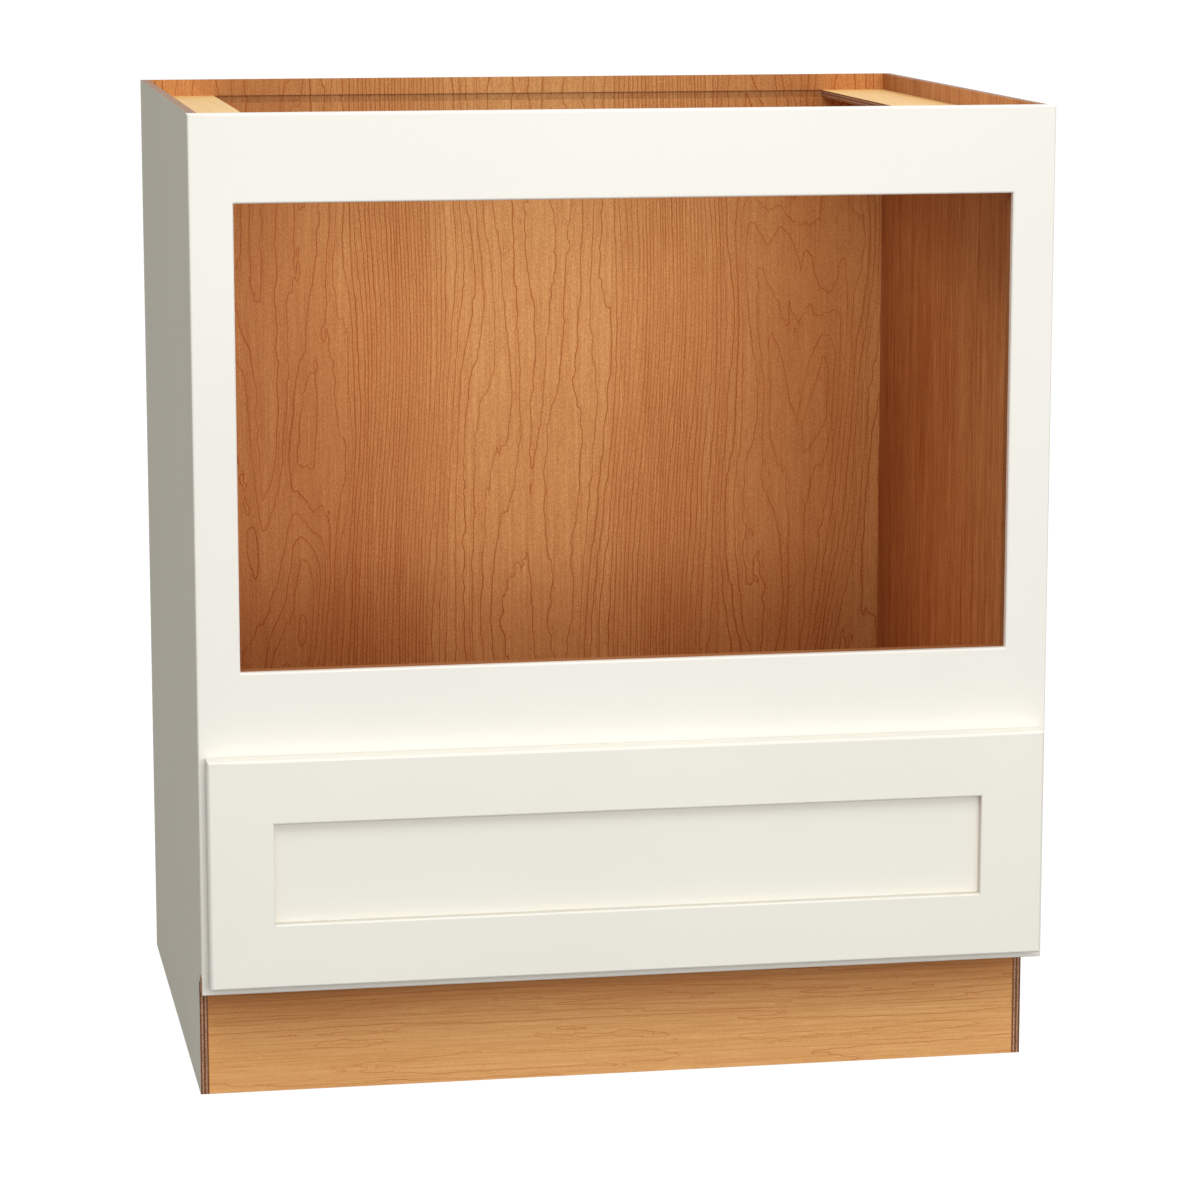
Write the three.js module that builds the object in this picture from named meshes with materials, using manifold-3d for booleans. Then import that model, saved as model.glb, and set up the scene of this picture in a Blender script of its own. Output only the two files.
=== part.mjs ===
// A base kitchen cabinet for a built-in microwave: a framed box with a large open bay, and one wide
// drawer below it on hidden full-extension slides.
// Millimetres. X runs to the right, Y towards the wall and Z up, and the origin is on the floor
// under the middle of the cabinet.

import * as THREE from "three";
import { ConvexGeometry } from "three/addons/geometries/ConvexGeometry.js";
import { mergeVertices } from "three/addons/utils/BufferGeometryUtils.js";
import Module from "manifold-3d";

const wasm = await Module();
wasm.setup();

// Driving dimensions.

// Whole cabinet.
const WIDTH = 762;
const DEPTH = 609.6;
const HEIGHT = 876.3;
const TOE_HEIGHT = 106.4;
const TOE_SETBACK = 57.15;

// Face frame.
const FRAME_THICKNESS = 19.05;
const STILE_WIDTH = 38.1;
const TOP_RAIL_HEIGHT = 76.2;
const MID_RAIL_HEIGHT = 127;
const DRAWER_OPENING_HEIGHT = 122.2;
const BOTTOM_RAIL_HEIGHT = 38.1;
const FRAME_TENON_LENGTH = 9.5;
const FRAME_TENON_THICKNESS = 6.35;
const FRAME_TENON_SHOULDER = 6;
const FRAME_EASE = 1.2;

// Plywood box behind the frame.
const SIDE_THICKNESS = 8;
const SIDE_INSET = 2;
const BACK_THICKNESS = 5;
const BACK_LAP = 4;
const FLOOR_THICKNESS = 12;
const DECK_THICKNESS = 12;
const DECK_HEADROOM = 7.9;
const DECK_TONGUE_THICKNESS = 8;
const HOUSING_DEPTH = 2.5;
const STRIP_WIDTH = 63.5;
const STRIP_THICKNESS = 7;
const STRIP_DROP = 15.9;
const STRIP_GROOVE_DEPTH = 2;
const TOE_BOARD_THICKNESS = 12;

// Drawer front.
const FRONT_THICKNESS = 19.05;
const FRONT_SIDE_REVEAL = 6.35;
const FRONT_BOTTOM_REVEAL = 9.5;
const FRONT_TOP_OVERLAY = 53.2;
const FRONT_MEMBER_WIDTH = 57.15;
const FRONT_RECESS = 9.5;
const FRONT_TONGUE_SETBACK = 1.5;
const FRONT_TONGUE_THICKNESS = 6;
const FRONT_GROOVE_DEPTH = 9.5;
const FRONT_TONGUE_GAP = 0.3;
const FRONT_OUTER_EASE = 1.8;
const FRONT_INNER_EASE = 1;

// Drawer box.
const BOX_WALL = 12.7;
const BOX_SIDE_GAP = 5;
const BOX_LIFT = 14;
const BOX_HEADROOM = 6.6;
const BOX_REAR_GAP = 52.15;
const BOX_BOTTOM_THICKNESS = 6;
const BOX_BOTTOM_RECESS = 12.7;
const BOX_GROOVE_DEPTH = 5;

// Hidden slides.
const SLIDE_STEEL = 1.5;
const SLIDE_FOOT_LIFT = 5.5;
const SLIDE_FLANGE_HEIGHT = 36;
const SLIDE_TRACK_INSET = 24;
const SLIDE_TRACK_WIDTH = 19;
const SLIDE_TRACK_WALL = 6;
const SLIDE_RUNNER_WALL = 8;
const SLIDE_CARRIAGE_SIDE_GAP = 1.5;
const SLIDE_RUNNING_GAP = 0.3;
const SLIDE_FRONT_SETBACK = 2.2;
const SLIDE_RAIL_REAR_GAP = 48.45;
const SLIDE_CARRIAGE_REAR_GAP = 72.55;
const SLIDE_RUNNER_END_GAP = 1.5;
const BRACKET_PLATE_THICKNESS = 3;
const BRACKET_PLATE_WIDTH = 62;
const BRACKET_ARM_THICKNESS = 2;
const BRACKET_ARM_HEIGHT = 30;
const BRACKET_GRIP = 24;

// Locking clips under the drawer's front corners.
const CLIP_WIDTH = 28;
const CLIP_LENGTH = 56;
const CLIP_THICKNESS = 6;
const LEVER_THICKNESS = 4;
const LEVER_WIDTH = 9;
const LEVER_LENGTH = 44;
const LEVER_PAD_WIDTH = 13;
const LEVER_PAD_LENGTH = 9;
const LEVER_PIN_RADIUS = 2.4;
const LEVER_PIN_LENGTH = 4;
const LEVER_PIN_GAP = 0.4;

// Drawer front screws and bumpers.
const SCREW_HEAD_RADIUS = 4.5;
const SCREW_HEAD_HEIGHT = 2.2;
const SCREW_SHANK_RADIUS = 2;
const SCREW_HOLE_GAP = 0.3;
const SCREW_BITE = 7;
const SCREW_TIP = 2;
const SCREW_INSET = 95.2;
const SCREW_LOW_HEIGHT = 22;
const SCREW_HIGH_HEIGHT = 68;
const BUMPER_RADIUS = 4;
const BUMPER_THICKNESS = 1.4;
const BUMPER_CLEARANCE = 0.1;
const BUMPER_INSET = 12;

// Places worked out from them.

const halfWidth = WIDTH / 2;
const wallY = DEPTH / 2;
const frontY = -DEPTH / 2;
const frontBackY = frontY + FRONT_THICKNESS;
const frameY = frontBackY + BUMPER_THICKNESS + BUMPER_CLEARANCE;
const frameBackY = frameY + FRAME_THICKNESS;
const backPanelY = wallY - BACK_THICKNESS;
const toeY = frameY + TOE_SETBACK;

const halfOpening = halfWidth - STILE_WIDTH;
const floorTopZ = TOE_HEIGHT + BOTTOM_RAIL_HEIGHT;
const drawerOpeningTopZ = floorTopZ + DRAWER_OPENING_HEIGHT;
const sillZ = drawerOpeningTopZ + MID_RAIL_HEIGHT;
const bayTopZ = HEIGHT - TOP_RAIL_HEIGHT;
const floorUnderZ = floorTopZ - FLOOR_THICKNESS;

const sideOuterX = halfWidth - SIDE_INSET;
const sideInnerX = sideOuterX - SIDE_THICKNESS;

const boxBottomZ = floorTopZ + BOX_LIFT;
const boxTopZ = drawerOpeningTopZ - BOX_HEADROOM;
const boxOuterX = halfOpening - BOX_SIDE_GAP;
const boxInnerX = boxOuterX - BOX_WALL;
const boxInnerY = frontBackY + BOX_WALL;
const boxRearY = backPanelY - BOX_REAR_GAP;
const bottomUnderZ = boxBottomZ + BOX_BOTTOM_RECESS;
const bottomTopZ = bottomUnderZ + BOX_BOTTOM_THICKNESS;

const deckUnderZ = boxTopZ + DECK_HEADROOM;
const stripTopZ = HEIGHT - STRIP_DROP;

const frontHalfWidth = halfWidth - FRONT_SIDE_REVEAL;
const frontLowZ = TOE_HEIGHT + FRONT_BOTTOM_REVEAL;
const frontHighZ = drawerOpeningTopZ + FRONT_TOP_OVERLAY;
const panelY = frontY + FRONT_RECESS;
const panelHalfWidth = frontHalfWidth - FRONT_MEMBER_WIDTH;
const panelLowZ = frontLowZ + FRONT_MEMBER_WIDTH;
const panelHighZ = frontHighZ - FRONT_MEMBER_WIDTH;
const tongueY0 = panelY + FRONT_TONGUE_SETBACK;
const tongueY1 = tongueY0 + FRONT_TONGUE_THICKNESS;
const tongueReach = FRONT_GROOVE_DEPTH - FRONT_TONGUE_GAP;

const footZ = floorTopZ + SLIDE_FOOT_LIFT;
const trackFloorZ = footZ + SLIDE_STEEL;
const trackOuterX = halfOpening - SLIDE_TRACK_INSET;
const trackInnerX = trackOuterX - SLIDE_TRACK_WIDTH;
const railFrontY = frameY + SLIDE_FRONT_SETBACK;
const railRearY = backPanelY - SLIDE_RAIL_REAR_GAP;

const clipY = boxInnerY;
const clipOuterX = trackInnerX - SLIDE_RUNNING_GAP;
const clipUnderZ = bottomUnderZ - CLIP_THICKNESS;
const leverX = clipOuterX - CLIP_WIDTH / 2;
const leverPivotY = clipY + CLIP_LENGTH - LEVER_WIDTH;
const leverTopZ = clipUnderZ - SLIDE_RUNNING_GAP;

// Finishes.

const paint = new THREE.MeshStandardMaterial({ color: 0xf1efe6, roughness: 0.45 });
const interiorPly = new THREE.MeshStandardMaterial({ color: 0xb26c3c, roughness: 0.55 });
const paleStrip = new THREE.MeshStandardMaterial({ color: 0xe6bb85, roughness: 0.6 });
const toeWood = new THREE.MeshStandardMaterial({ color: 0xc6925c, roughness: 0.65 });
const drawerWood = new THREE.MeshStandardMaterial({ color: 0xdfc39a, roughness: 0.5 });
const zinc = new THREE.MeshStandardMaterial({ color: 0xb9bcc0, roughness: 0.35, metalness: 1 });
const nylon = new THREE.MeshStandardMaterial({ color: 0x8d9092, roughness: 0.55 });
const leverNylon = new THREE.MeshStandardMaterial({ color: 0xd8702a, roughness: 0.5 });
const clearRubber = new THREE.MeshStandardMaterial({ color: 0xdedede, roughness: 0.3 });

// Closed shapes as three.js geometry.

/** A box between two corners, with its corners exactly there so that touching faces meet. */
function block(x0, x1, y0, y1, z0, z1) {
  const geometry = new THREE.BoxGeometry();
  const corners = geometry.attributes.position;
  for (let i = 0; i < corners.count; i += 1) {
    const x = corners.getX(i) < 0 ? x0 : x1;
    const y = corners.getY(i) < 0 ? y0 : y1;
    const z = corners.getZ(i) < 0 ? z0 : z1;
    corners.setXYZ(i, x, y, z);
  }
  return geometry;
}

/** An outline of [x, z] points, drawn out along Y between exactly y0 and y1. */
function prismAlongY(points, y0, y1) {
  const shape = new THREE.Shape(points.map(([x, z]) => new THREE.Vector2(x, z)));
  const geometry = new THREE.ExtrudeGeometry(shape, { depth: 1, bevelEnabled: false });
  const corners = geometry.attributes.position;
  for (let i = 0; i < corners.count; i += 1) {
    const y = corners.getZ(i) > 0.5 ? y0 : y1;
    corners.setXYZ(i, corners.getX(i), y, corners.getY(i));
  }
  return geometry;
}

/** A slab standing in the X-Z plane whose rim is cut back by ease on the face at y0. */
function easedSlab(halfX, z0, z1, y0, y1, ease) {
  const corners = [];
  for (const [y, inset] of [[y0, ease], [y0 + ease, 0], [y1, 0]]) {
    for (const x of [-halfX + inset, halfX - inset]) {
      for (const z of [z0 + inset, z1 - inset]) corners.push(new THREE.Vector3(x, y, z));
    }
  }
  return new ConvexGeometry(corners);
}

/** The wedge-edged plug that eases the rim of an opening in the face at y. */
function openingEase(halfX, z0, z1, y, ease) {
  const corners = [];
  for (const [depth, grow] of [[-ease, 2 * ease], [ease, 0]]) {
    for (const x of [-halfX - grow, halfX + grow]) {
      for (const z of [z0 - grow, z1 + grow]) corners.push(new THREE.Vector3(x, y + depth, z));
    }
  }
  return new ConvexGeometry(corners);
}

// Joining and cutting.

/** The manifold solid of a closed geometry. */
function solid(geometry) {
  const bare = geometry.clone();
  bare.deleteAttribute("normal");
  bare.deleteAttribute("uv");
  const merged = mergeVertices(bare, 1e-4);
  const vertProperties = new Float32Array(merged.attributes.position.array);
  const triVerts = new Uint32Array(merged.index.array);
  return new wasm.Manifold(new wasm.Mesh({ numProp: 3, vertProperties, triVerts }));
}

/** The three.js geometry of a manifold solid. */
function geometryOf(body) {
  const { vertProperties, triVerts } = body.getMesh();
  const geometry = new THREE.BufferGeometry();
  geometry.setAttribute("position", new THREE.BufferAttribute(vertProperties, 3));
  geometry.setIndex(new THREE.BufferAttribute(triVerts, 1));
  geometry.computeVertexNormals();
  return geometry;
}

/** A base geometry with others joined on, then others cut away. */
function shaped(base, { join = [], cut = [], keep = null } = {}) {
  let body = solid(base);
  for (const piece of join) body = body.add(solid(piece));
  if (keep) body = body.intersect(solid(keep));
  for (const piece of cut) body = body.subtract(solid(piece));
  return geometryOf(body);
}

const cabinet = new THREE.Group();

/** Add one named piece. */
function add(name, geometry, material) {
  const mesh = new THREE.Mesh(geometry, material);
  mesh.name = name;
  cabinet.add(mesh);
}

const sides = [{ side: "left", s: -1 }, { side: "right", s: 1 }];

/** A box on the left (s = -1) or right (s = 1), given by its distances from the middle. */
function sideBlock(s, xNear, xFar, y0, y1, z0, z1) {
  return block(Math.min(s * xNear, s * xFar), Math.max(s * xNear, s * xFar), y0, y1, z0, z1);
}

// Face frame: two full-height stiles, and three rails tenoned between them.

function addFaceFrame() {
  const outline = easedSlab(halfWidth, TOE_HEIGHT, HEIGHT, frameY, frameBackY, FRAME_EASE);
  const bayEase = openingEase(halfOpening, sillZ, bayTopZ, frameY, FRAME_EASE);
  const tenonY0 = frameY + (FRAME_THICKNESS - FRAME_TENON_THICKNESS) / 2;
  const tenonY1 = tenonY0 + FRAME_TENON_THICKNESS;
  const tenonHalfX = halfOpening + FRAME_TENON_LENGTH;
  const rails = [
    { name: "face_frame_top_rail", z0: bayTopZ, z1: HEIGHT },
    { name: "face_frame_mid_rail", z0: drawerOpeningTopZ, z1: sillZ },
    { name: "face_frame_bottom_rail", z0: TOE_HEIGHT, z1: floorTopZ },
  ];
  const tenonOf = ({ z0, z1 }) => block(
    -tenonHalfX, tenonHalfX, tenonY0, tenonY1, z0 + FRAME_TENON_SHOULDER, z1 - FRAME_TENON_SHOULDER,
  );
  for (const rail of rails) {
    const bar = block(-halfOpening, halfOpening, frameY, frameBackY, rail.z0, rail.z1);
    const bare = shaped(bar, { keep: outline, cut: [bayEase] });
    add(rail.name, shaped(bare, { join: [tenonOf(rail)] }), paint);
  }
  for (const { side, s } of sides) {
    const bar = sideBlock(s, halfOpening, halfWidth, frameY, frameBackY, TOE_HEIGHT, HEIGHT);
    const cut = [bayEase, ...rails.map(tenonOf)];
    add(`face_frame_${side}_stile`, shaped(bar, { keep: outline, cut }), paint);
  }
}

// Plywood box: sides with a toe notch, back, floor, microwave deck, top strips and toe board.

function addSidePanels() {
  const housings = [
    { z0: floorUnderZ, z1: floorTopZ },
    { z0: deckUnderZ, z1: deckUnderZ + DECK_TONGUE_THICKNESS },
    { z0: stripTopZ - STRIP_THICKNESS, z1: stripTopZ },
  ];
  for (const { side, s } of sides) {
    const bar = sideBlock(s, sideInnerX, sideOuterX, frameBackY, wallY, 0, HEIGHT);
    const beyond = sideInnerX - 1;
    const notch = sideBlock(s, beyond, sideOuterX + 1, frameBackY - 1, toeY, -1, TOE_HEIGHT);
    const rabbet = sideBlock(s, beyond, sideInnerX + BACK_LAP, backPanelY, wallY + 1, -1, HEIGHT + 1);
    const cut = [notch, rabbet];
    for (const { z0, z1 } of housings) {
      cut.push(sideBlock(s, beyond, sideInnerX + HOUSING_DEPTH, frameBackY - 1, backPanelY, z0, z1));
    }
    add(`side_panel_${side}`, shaped(bar, { cut }), interiorPly);
  }
}

function addBackPanel() {
  const halfX = sideInnerX + BACK_LAP;
  const sheet = block(-halfX, halfX, backPanelY, wallY, 0, HEIGHT);
  const grooveY = backPanelY + STRIP_GROOVE_DEPTH;
  const grooveLowZ = stripTopZ - STRIP_THICKNESS;
  const groove = block(-halfX - 1, halfX + 1, backPanelY - 1, grooveY, grooveLowZ, stripTopZ);
  add("back_panel", shaped(sheet, { cut: [groove] }), interiorPly);
}

function addShelves() {
  const halfX = sideInnerX + HOUSING_DEPTH;
  const floor = block(-halfX, halfX, frameBackY, backPanelY, floorUnderZ, floorTopZ);
  add("cabinet_floor", floor, interiorPly);
  const deckTopZ = deckUnderZ + DECK_THICKNESS;
  const tongueTopZ = deckUnderZ + DECK_TONGUE_THICKNESS;
  const deck = block(-sideInnerX, sideInnerX, frameBackY, backPanelY, deckUnderZ, deckTopZ);
  const tongues = block(-halfX, halfX, frameBackY, backPanelY, deckUnderZ, tongueTopZ);
  add("microwave_deck", shaped(deck, { join: [tongues] }), interiorPly);
}

function addTopStrips() {
  const innerX = sideInnerX - STRIP_WIDTH;
  const z0 = stripTopZ - STRIP_THICKNESS;
  for (const { side, s } of sides) {
    const y1 = backPanelY;
    const strip = sideBlock(s, innerX, sideInnerX + HOUSING_DEPTH, frameBackY, y1, z0, stripTopZ);
    const tongueY = y1 + STRIP_GROOVE_DEPTH;
    const tongue = sideBlock(s, innerX, sideInnerX, y1, tongueY, z0, stripTopZ);
    add(`top_strip_${side}`, shaped(strip, { join: [tongue] }), paleStrip);
  }
}

function addToeBoard() {
  const y1 = toeY + TOE_BOARD_THICKNESS;
  add("toe_board", block(-sideInnerX, sideInnerX, toeY, y1, 0, floorUnderZ), toeWood);
}

// Hidden slides: a fixed rail, a carriage running in it and a runner under the drawer.

/** A slide section's [distance from the opening's edge, height] outline as [x, z] on one side. */
function sideOutline(s, outline) {
  return outline.map(([inset, z]) => [s * (halfOpening - inset), z]);
}

function addSlides() {
  const wallTopZ = trackFloorZ + SLIDE_TRACK_WALL;
  const nearInset = SLIDE_TRACK_INSET;
  const farInset = SLIDE_TRACK_INSET + SLIDE_TRACK_WIDTH;
  const steel = SLIDE_STEEL;
  const rail = [
    [0, footZ], [farInset, footZ], [farInset, wallTopZ], [farInset - steel, wallTopZ],
    [farInset - steel, trackFloorZ], [nearInset + steel, trackFloorZ], [nearInset + steel, wallTopZ],
    [nearInset, wallTopZ], [nearInset, trackFloorZ], [steel, trackFloorZ],
    [steel, footZ + SLIDE_FLANGE_HEIGHT], [0, footZ + SLIDE_FLANGE_HEIGHT],
  ];
  const capUnderZ = bottomUnderZ - steel;
  const lipZ = capUnderZ - SLIDE_RUNNER_WALL;
  const runner = [
    [nearInset, lipZ], [nearInset + steel, lipZ], [nearInset + steel, capUnderZ],
    [farInset - steel, capUnderZ], [farInset - steel, lipZ], [farInset, lipZ],
    [farInset, bottomUnderZ], [nearInset, bottomUnderZ],
  ];
  const lowZ = trackFloorZ + SLIDE_RUNNING_GAP;
  const highZ = capUnderZ - SLIDE_RUNNING_GAP;
  const edge0 = nearInset + steel + SLIDE_CARRIAGE_SIDE_GAP;
  const edge1 = farInset - steel - SLIDE_CARRIAGE_SIDE_GAP;
  const web0 = (edge0 + edge1 - steel) / 2;
  const web1 = web0 + steel;
  const carriage = [
    [edge0, lowZ], [edge1, lowZ], [edge1, lowZ + steel], [web1, lowZ + steel],
    [web1, highZ - steel], [edge1, highZ - steel], [edge1, highZ], [edge0, highZ],
    [edge0, highZ - steel], [web0, highZ - steel], [web0, lowZ + steel], [edge0, lowZ + steel],
  ];
  const runnerY = boxInnerY + SLIDE_RUNNING_GAP;
  const carriageEndY = backPanelY - SLIDE_CARRIAGE_REAR_GAP;
  const runnerEndY = boxRearY - SLIDE_RUNNER_END_GAP;
  for (const { side, s } of sides) {
    add(`slide_rail_${side}`, prismAlongY(sideOutline(s, rail), railFrontY, railRearY), zinc);
    add(`slide_carriage_${side}`, prismAlongY(sideOutline(s, carriage), runnerY, carriageEndY), zinc);
    add(`slide_runner_${side}`, prismAlongY(sideOutline(s, runner), runnerY, runnerEndY), zinc);
  }
}

function addSlideBrackets() {
  const arm = BRACKET_ARM_THICKNESS;
  const armLowZ = footZ - arm;
  const armHighZ = footZ + BRACKET_ARM_HEIGHT;
  const section = [
    [-arm, armLowZ], [SLIDE_TRACK_INSET + SLIDE_TRACK_WIDTH, armLowZ],
    [SLIDE_TRACK_INSET + SLIDE_TRACK_WIDTH, footZ], [0, footZ], [0, armHighZ], [-arm, armHighZ],
  ];
  const plateY = backPanelY - BRACKET_PLATE_THICKNESS;
  const plateFarX = halfOpening + (BRACKET_PLATE_WIDTH - SLIDE_TRACK_INSET - SLIDE_TRACK_WIDTH) / 2;
  const plateNearX = plateFarX - BRACKET_PLATE_WIDTH;
  for (const { side, s } of sides) {
    const bar = prismAlongY(sideOutline(s, section), railRearY - BRACKET_GRIP, plateY);
    const plate = sideBlock(s, plateNearX, plateFarX, plateY, backPanelY, armLowZ, armHighZ);
    add(`slide_bracket_${side}`, shaped(plate, { join: [bar] }), nylon);
  }
}

// Drawer box: sides, front and back standing on a bottom that is let into grooves.

function addDrawerBox() {
  const grooveX = boxInnerX + BOX_GROOVE_DEPTH;
  const grooveY = boxInnerY - BOX_GROOVE_DEPTH;
  for (const { side, s } of sides) {
    const wall = sideBlock(s, boxInnerX, boxOuterX, frontBackY, boxRearY, boxBottomZ, boxTopZ);
    const groove = sideBlock(s, boxInnerX - 1, grooveX, grooveY, boxRearY + 1, bottomUnderZ, bottomTopZ);
    add(`drawer_${side}_side`, shaped(wall, { cut: [groove] }), drawerWood);
  }
  const front = block(-boxInnerX, boxInnerX, frontBackY, boxInnerY, boxBottomZ, boxTopZ);
  const halfX = boxInnerX + 1;
  const frontGroove = block(-halfX, halfX, grooveY, boxInnerY + 1, bottomUnderZ, bottomTopZ);
  const cut = [frontGroove, ...screwPlaces().map((place) => screwHole(place))];
  add("drawer_box_front", shaped(front, { cut }), drawerWood);
  const backY = boxRearY - BOX_WALL;
  add("drawer_back", block(-boxInnerX, boxInnerX, backY, boxRearY, bottomTopZ, boxTopZ), drawerWood);
  const bottom = block(-grooveX, grooveX, grooveY, boxRearY, bottomUnderZ, bottomTopZ);
  add("drawer_bottom", bottom, drawerWood);
}

// Drawer front: a recessed panel held in grooved stiles and rails.

function addDrawerFront() {
  const outline = easedSlab(
    frontHalfWidth, frontLowZ, frontHighZ, frontY, frontBackY, FRONT_OUTER_EASE,
  );
  const ease = openingEase(panelHalfWidth, panelLowZ, panelHighZ, frontY, FRONT_INNER_EASE);
  const grooveHalfX = panelHalfWidth + FRONT_GROOVE_DEPTH;
  const groove0 = panelLowZ - FRONT_GROOVE_DEPTH;
  const groove1 = panelHighZ + FRONT_GROOVE_DEPTH;
  for (const { side, s } of sides) {
    const bar = sideBlock(s, panelHalfWidth, frontHalfWidth, frontY, frontBackY, frontLowZ, frontHighZ);
    const near = panelHalfWidth - 1;
    const groove = sideBlock(s, near, grooveHalfX, tongueY0, tongueY1, frontLowZ - 1, frontHighZ + 1);
    const shape = shaped(bar, { keep: outline, cut: [ease, groove] });
    add(`drawer_front_${side}_stile`, shape, paint);
  }
  const rails = [
    { name: "drawer_front_bottom_rail", z0: frontLowZ, z1: panelLowZ, g0: groove0, g1: panelLowZ + 1 },
    { name: "drawer_front_top_rail", z0: panelHighZ, z1: frontHighZ, g0: panelHighZ - 1, g1: groove1 },
  ];
  for (const { name, z0, z1, g0, g1 } of rails) {
    const bar = block(-panelHalfWidth, panelHalfWidth, frontY, frontBackY, z0, z1);
    const bare = shaped(bar, { keep: outline, cut: [ease] });
    const halfX = panelHalfWidth + tongueReach;
    const tenon = block(-halfX, halfX, tongueY0, tongueY1, z0, z1);
    const groove = block(-halfX - 1, halfX + 1, tongueY0, tongueY1, g0, g1);
    add(name, shaped(bare, { join: [tenon], cut: [groove] }), paint);
  }
  const panel = block(-panelHalfWidth, panelHalfWidth, panelY, frontBackY, panelLowZ, panelHighZ);
  const tongue = block(
    -panelHalfWidth - tongueReach, panelHalfWidth + tongueReach, tongueY0, tongueY1,
    panelLowZ - tongueReach, panelHighZ + tongueReach,
  );
  const cut = screwPlaces().map((place) => screwHole(place));
  add("drawer_front_panel", shaped(panel, { join: [tongue], cut }), paint);
}

// Screws that hold the drawer front to the box, and the bumpers that it closes against.

function screwPlaces() {
  const places = [];
  for (const { side, s } of sides) {
    const x = s * (boxInnerX - SCREW_INSET);
    places.push({ name: `drawer_front_screw_${side}_low`, x, z: bottomTopZ + SCREW_LOW_HEIGHT });
    places.push({ name: `drawer_front_screw_${side}_high`, x, z: bottomTopZ + SCREW_HIGH_HEIGHT });
  }
  return places;
}

function screwHole({ x, z }) {
  const radius = SCREW_SHANK_RADIUS + SCREW_HOLE_GAP;
  const length = BOX_WALL + SCREW_BITE + SCREW_HOLE_GAP;
  const hole = new THREE.CylinderGeometry(radius, radius, length + 1, 16);
  return hole.translate(x, boxInnerY + 1 - (length + 1) / 2, z);
}

function addScrews() {
  const tipY = -BOX_WALL - SCREW_BITE;
  const profile = [
    [0, tipY], [SCREW_SHANK_RADIUS, tipY + SCREW_TIP], [SCREW_SHANK_RADIUS, 0],
    [SCREW_HEAD_RADIUS, 0], [SCREW_HEAD_RADIUS, SCREW_HEAD_HEIGHT / 2],
    [SCREW_HEAD_RADIUS - SCREW_HEAD_HEIGHT / 2, SCREW_HEAD_HEIGHT], [0, SCREW_HEAD_HEIGHT],
  ].map(([radius, y]) => new THREE.Vector2(radius, y));
  for (const { name, x, z } of screwPlaces()) {
    const screw = new THREE.LatheGeometry(profile, 16).translate(x, boxInnerY, z);
    add(name, shaped(screw), zinc);
  }
}

function addBumpers() {
  const x = frontHalfWidth - BUMPER_INSET;
  const z = frontHighZ - BUMPER_INSET;
  for (const { side, s } of sides) {
    const disc = new THREE.CylinderGeometry(BUMPER_RADIUS, BUMPER_RADIUS, BUMPER_THICKNESS, 24);
    add(`bumper_${side}`, shaped(disc.translate(s * x, frontBackY + BUMPER_THICKNESS / 2, z)), clearRubber);
  }
}

// Locking clips: a plate under the drawer bottom, and a release lever that turns on a pin in it.

function addClips() {
  const pinHoleRadius = LEVER_PIN_RADIUS + LEVER_PIN_GAP;
  const holeTopZ = leverTopZ + LEVER_PIN_LENGTH + LEVER_PIN_GAP;
  for (const { side, s } of sides) {
    const x = s * leverX;
    const clipInnerX = clipOuterX - CLIP_WIDTH;
    const plate = sideBlock(s, clipInnerX, clipOuterX, clipY, clipY + CLIP_LENGTH, clipUnderZ, bottomUnderZ);
    const holeHeight = holeTopZ - clipUnderZ + 1;
    const hole = new THREE.CylinderGeometry(pinHoleRadius, pinHoleRadius, holeHeight, 24);
    hole.rotateX(Math.PI / 2).translate(x, leverPivotY, holeTopZ - holeHeight / 2);
    add(`drawer_clip_${side}`, shaped(plate, { cut: [hole] }), nylon);

    const pinHeight = LEVER_PIN_LENGTH + 1;
    const pin = new THREE.CylinderGeometry(LEVER_PIN_RADIUS, LEVER_PIN_RADIUS, pinHeight, 24);
    pin.rotateX(Math.PI / 2).translate(x, leverPivotY, leverTopZ + LEVER_PIN_LENGTH - pinHeight / 2);
    add(`release_lever_${side}`, shaped(leverPlate(x), { join: [pin] }), leverNylon);
  }
}

/** A flat lever with a round end at its pivot and a wider thumb pad at the front. */
function leverPlate(x) {
  const half = LEVER_WIDTH / 2;
  const padHalf = LEVER_PAD_WIDTH / 2;
  const tipY = leverPivotY - LEVER_LENGTH;
  const padY = tipY + LEVER_PAD_LENGTH;
  const shape = new THREE.Shape();
  shape.moveTo(x - padHalf, tipY);
  shape.lineTo(x + padHalf, tipY);
  shape.lineTo(x + padHalf, padY);
  shape.lineTo(x + half, padY + half);
  shape.lineTo(x + half, leverPivotY);
  shape.absarc(x, leverPivotY, half, 0, Math.PI, false);
  shape.lineTo(x - half, padY + half);
  shape.lineTo(x - padHalf, padY);
  const options = { depth: LEVER_THICKNESS, bevelEnabled: false, curveSegments: 8 };
  return new THREE.ExtrudeGeometry(shape, options).translate(0, 0, leverTopZ - LEVER_THICKNESS);
}

addFaceFrame();
addSidePanels();
addBackPanel();
addShelves();
addTopStrips();
addToeBoard();
addSlides();
addSlideBrackets();
addDrawerBox();
addDrawerFront();
addScrews();
addBumpers();
addClips();

export default cabinet;
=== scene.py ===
"""Finishes and fine shapes for a base kitchen cabinet that holds a built-in microwave.

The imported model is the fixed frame. The painted members get rounded edges here, the drawer box its
dovetails, and the levers, bumpers and screws their fine shapes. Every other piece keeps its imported
shape, with no more than its sharp edges broken.
Metres. X runs to the right, Y towards the wall and Z up.
"""

import math

import bmesh
import bpy
from bpy.props import FloatProperty, FloatVectorProperty, PointerProperty
from mathutils import Matrix, Vector


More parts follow.
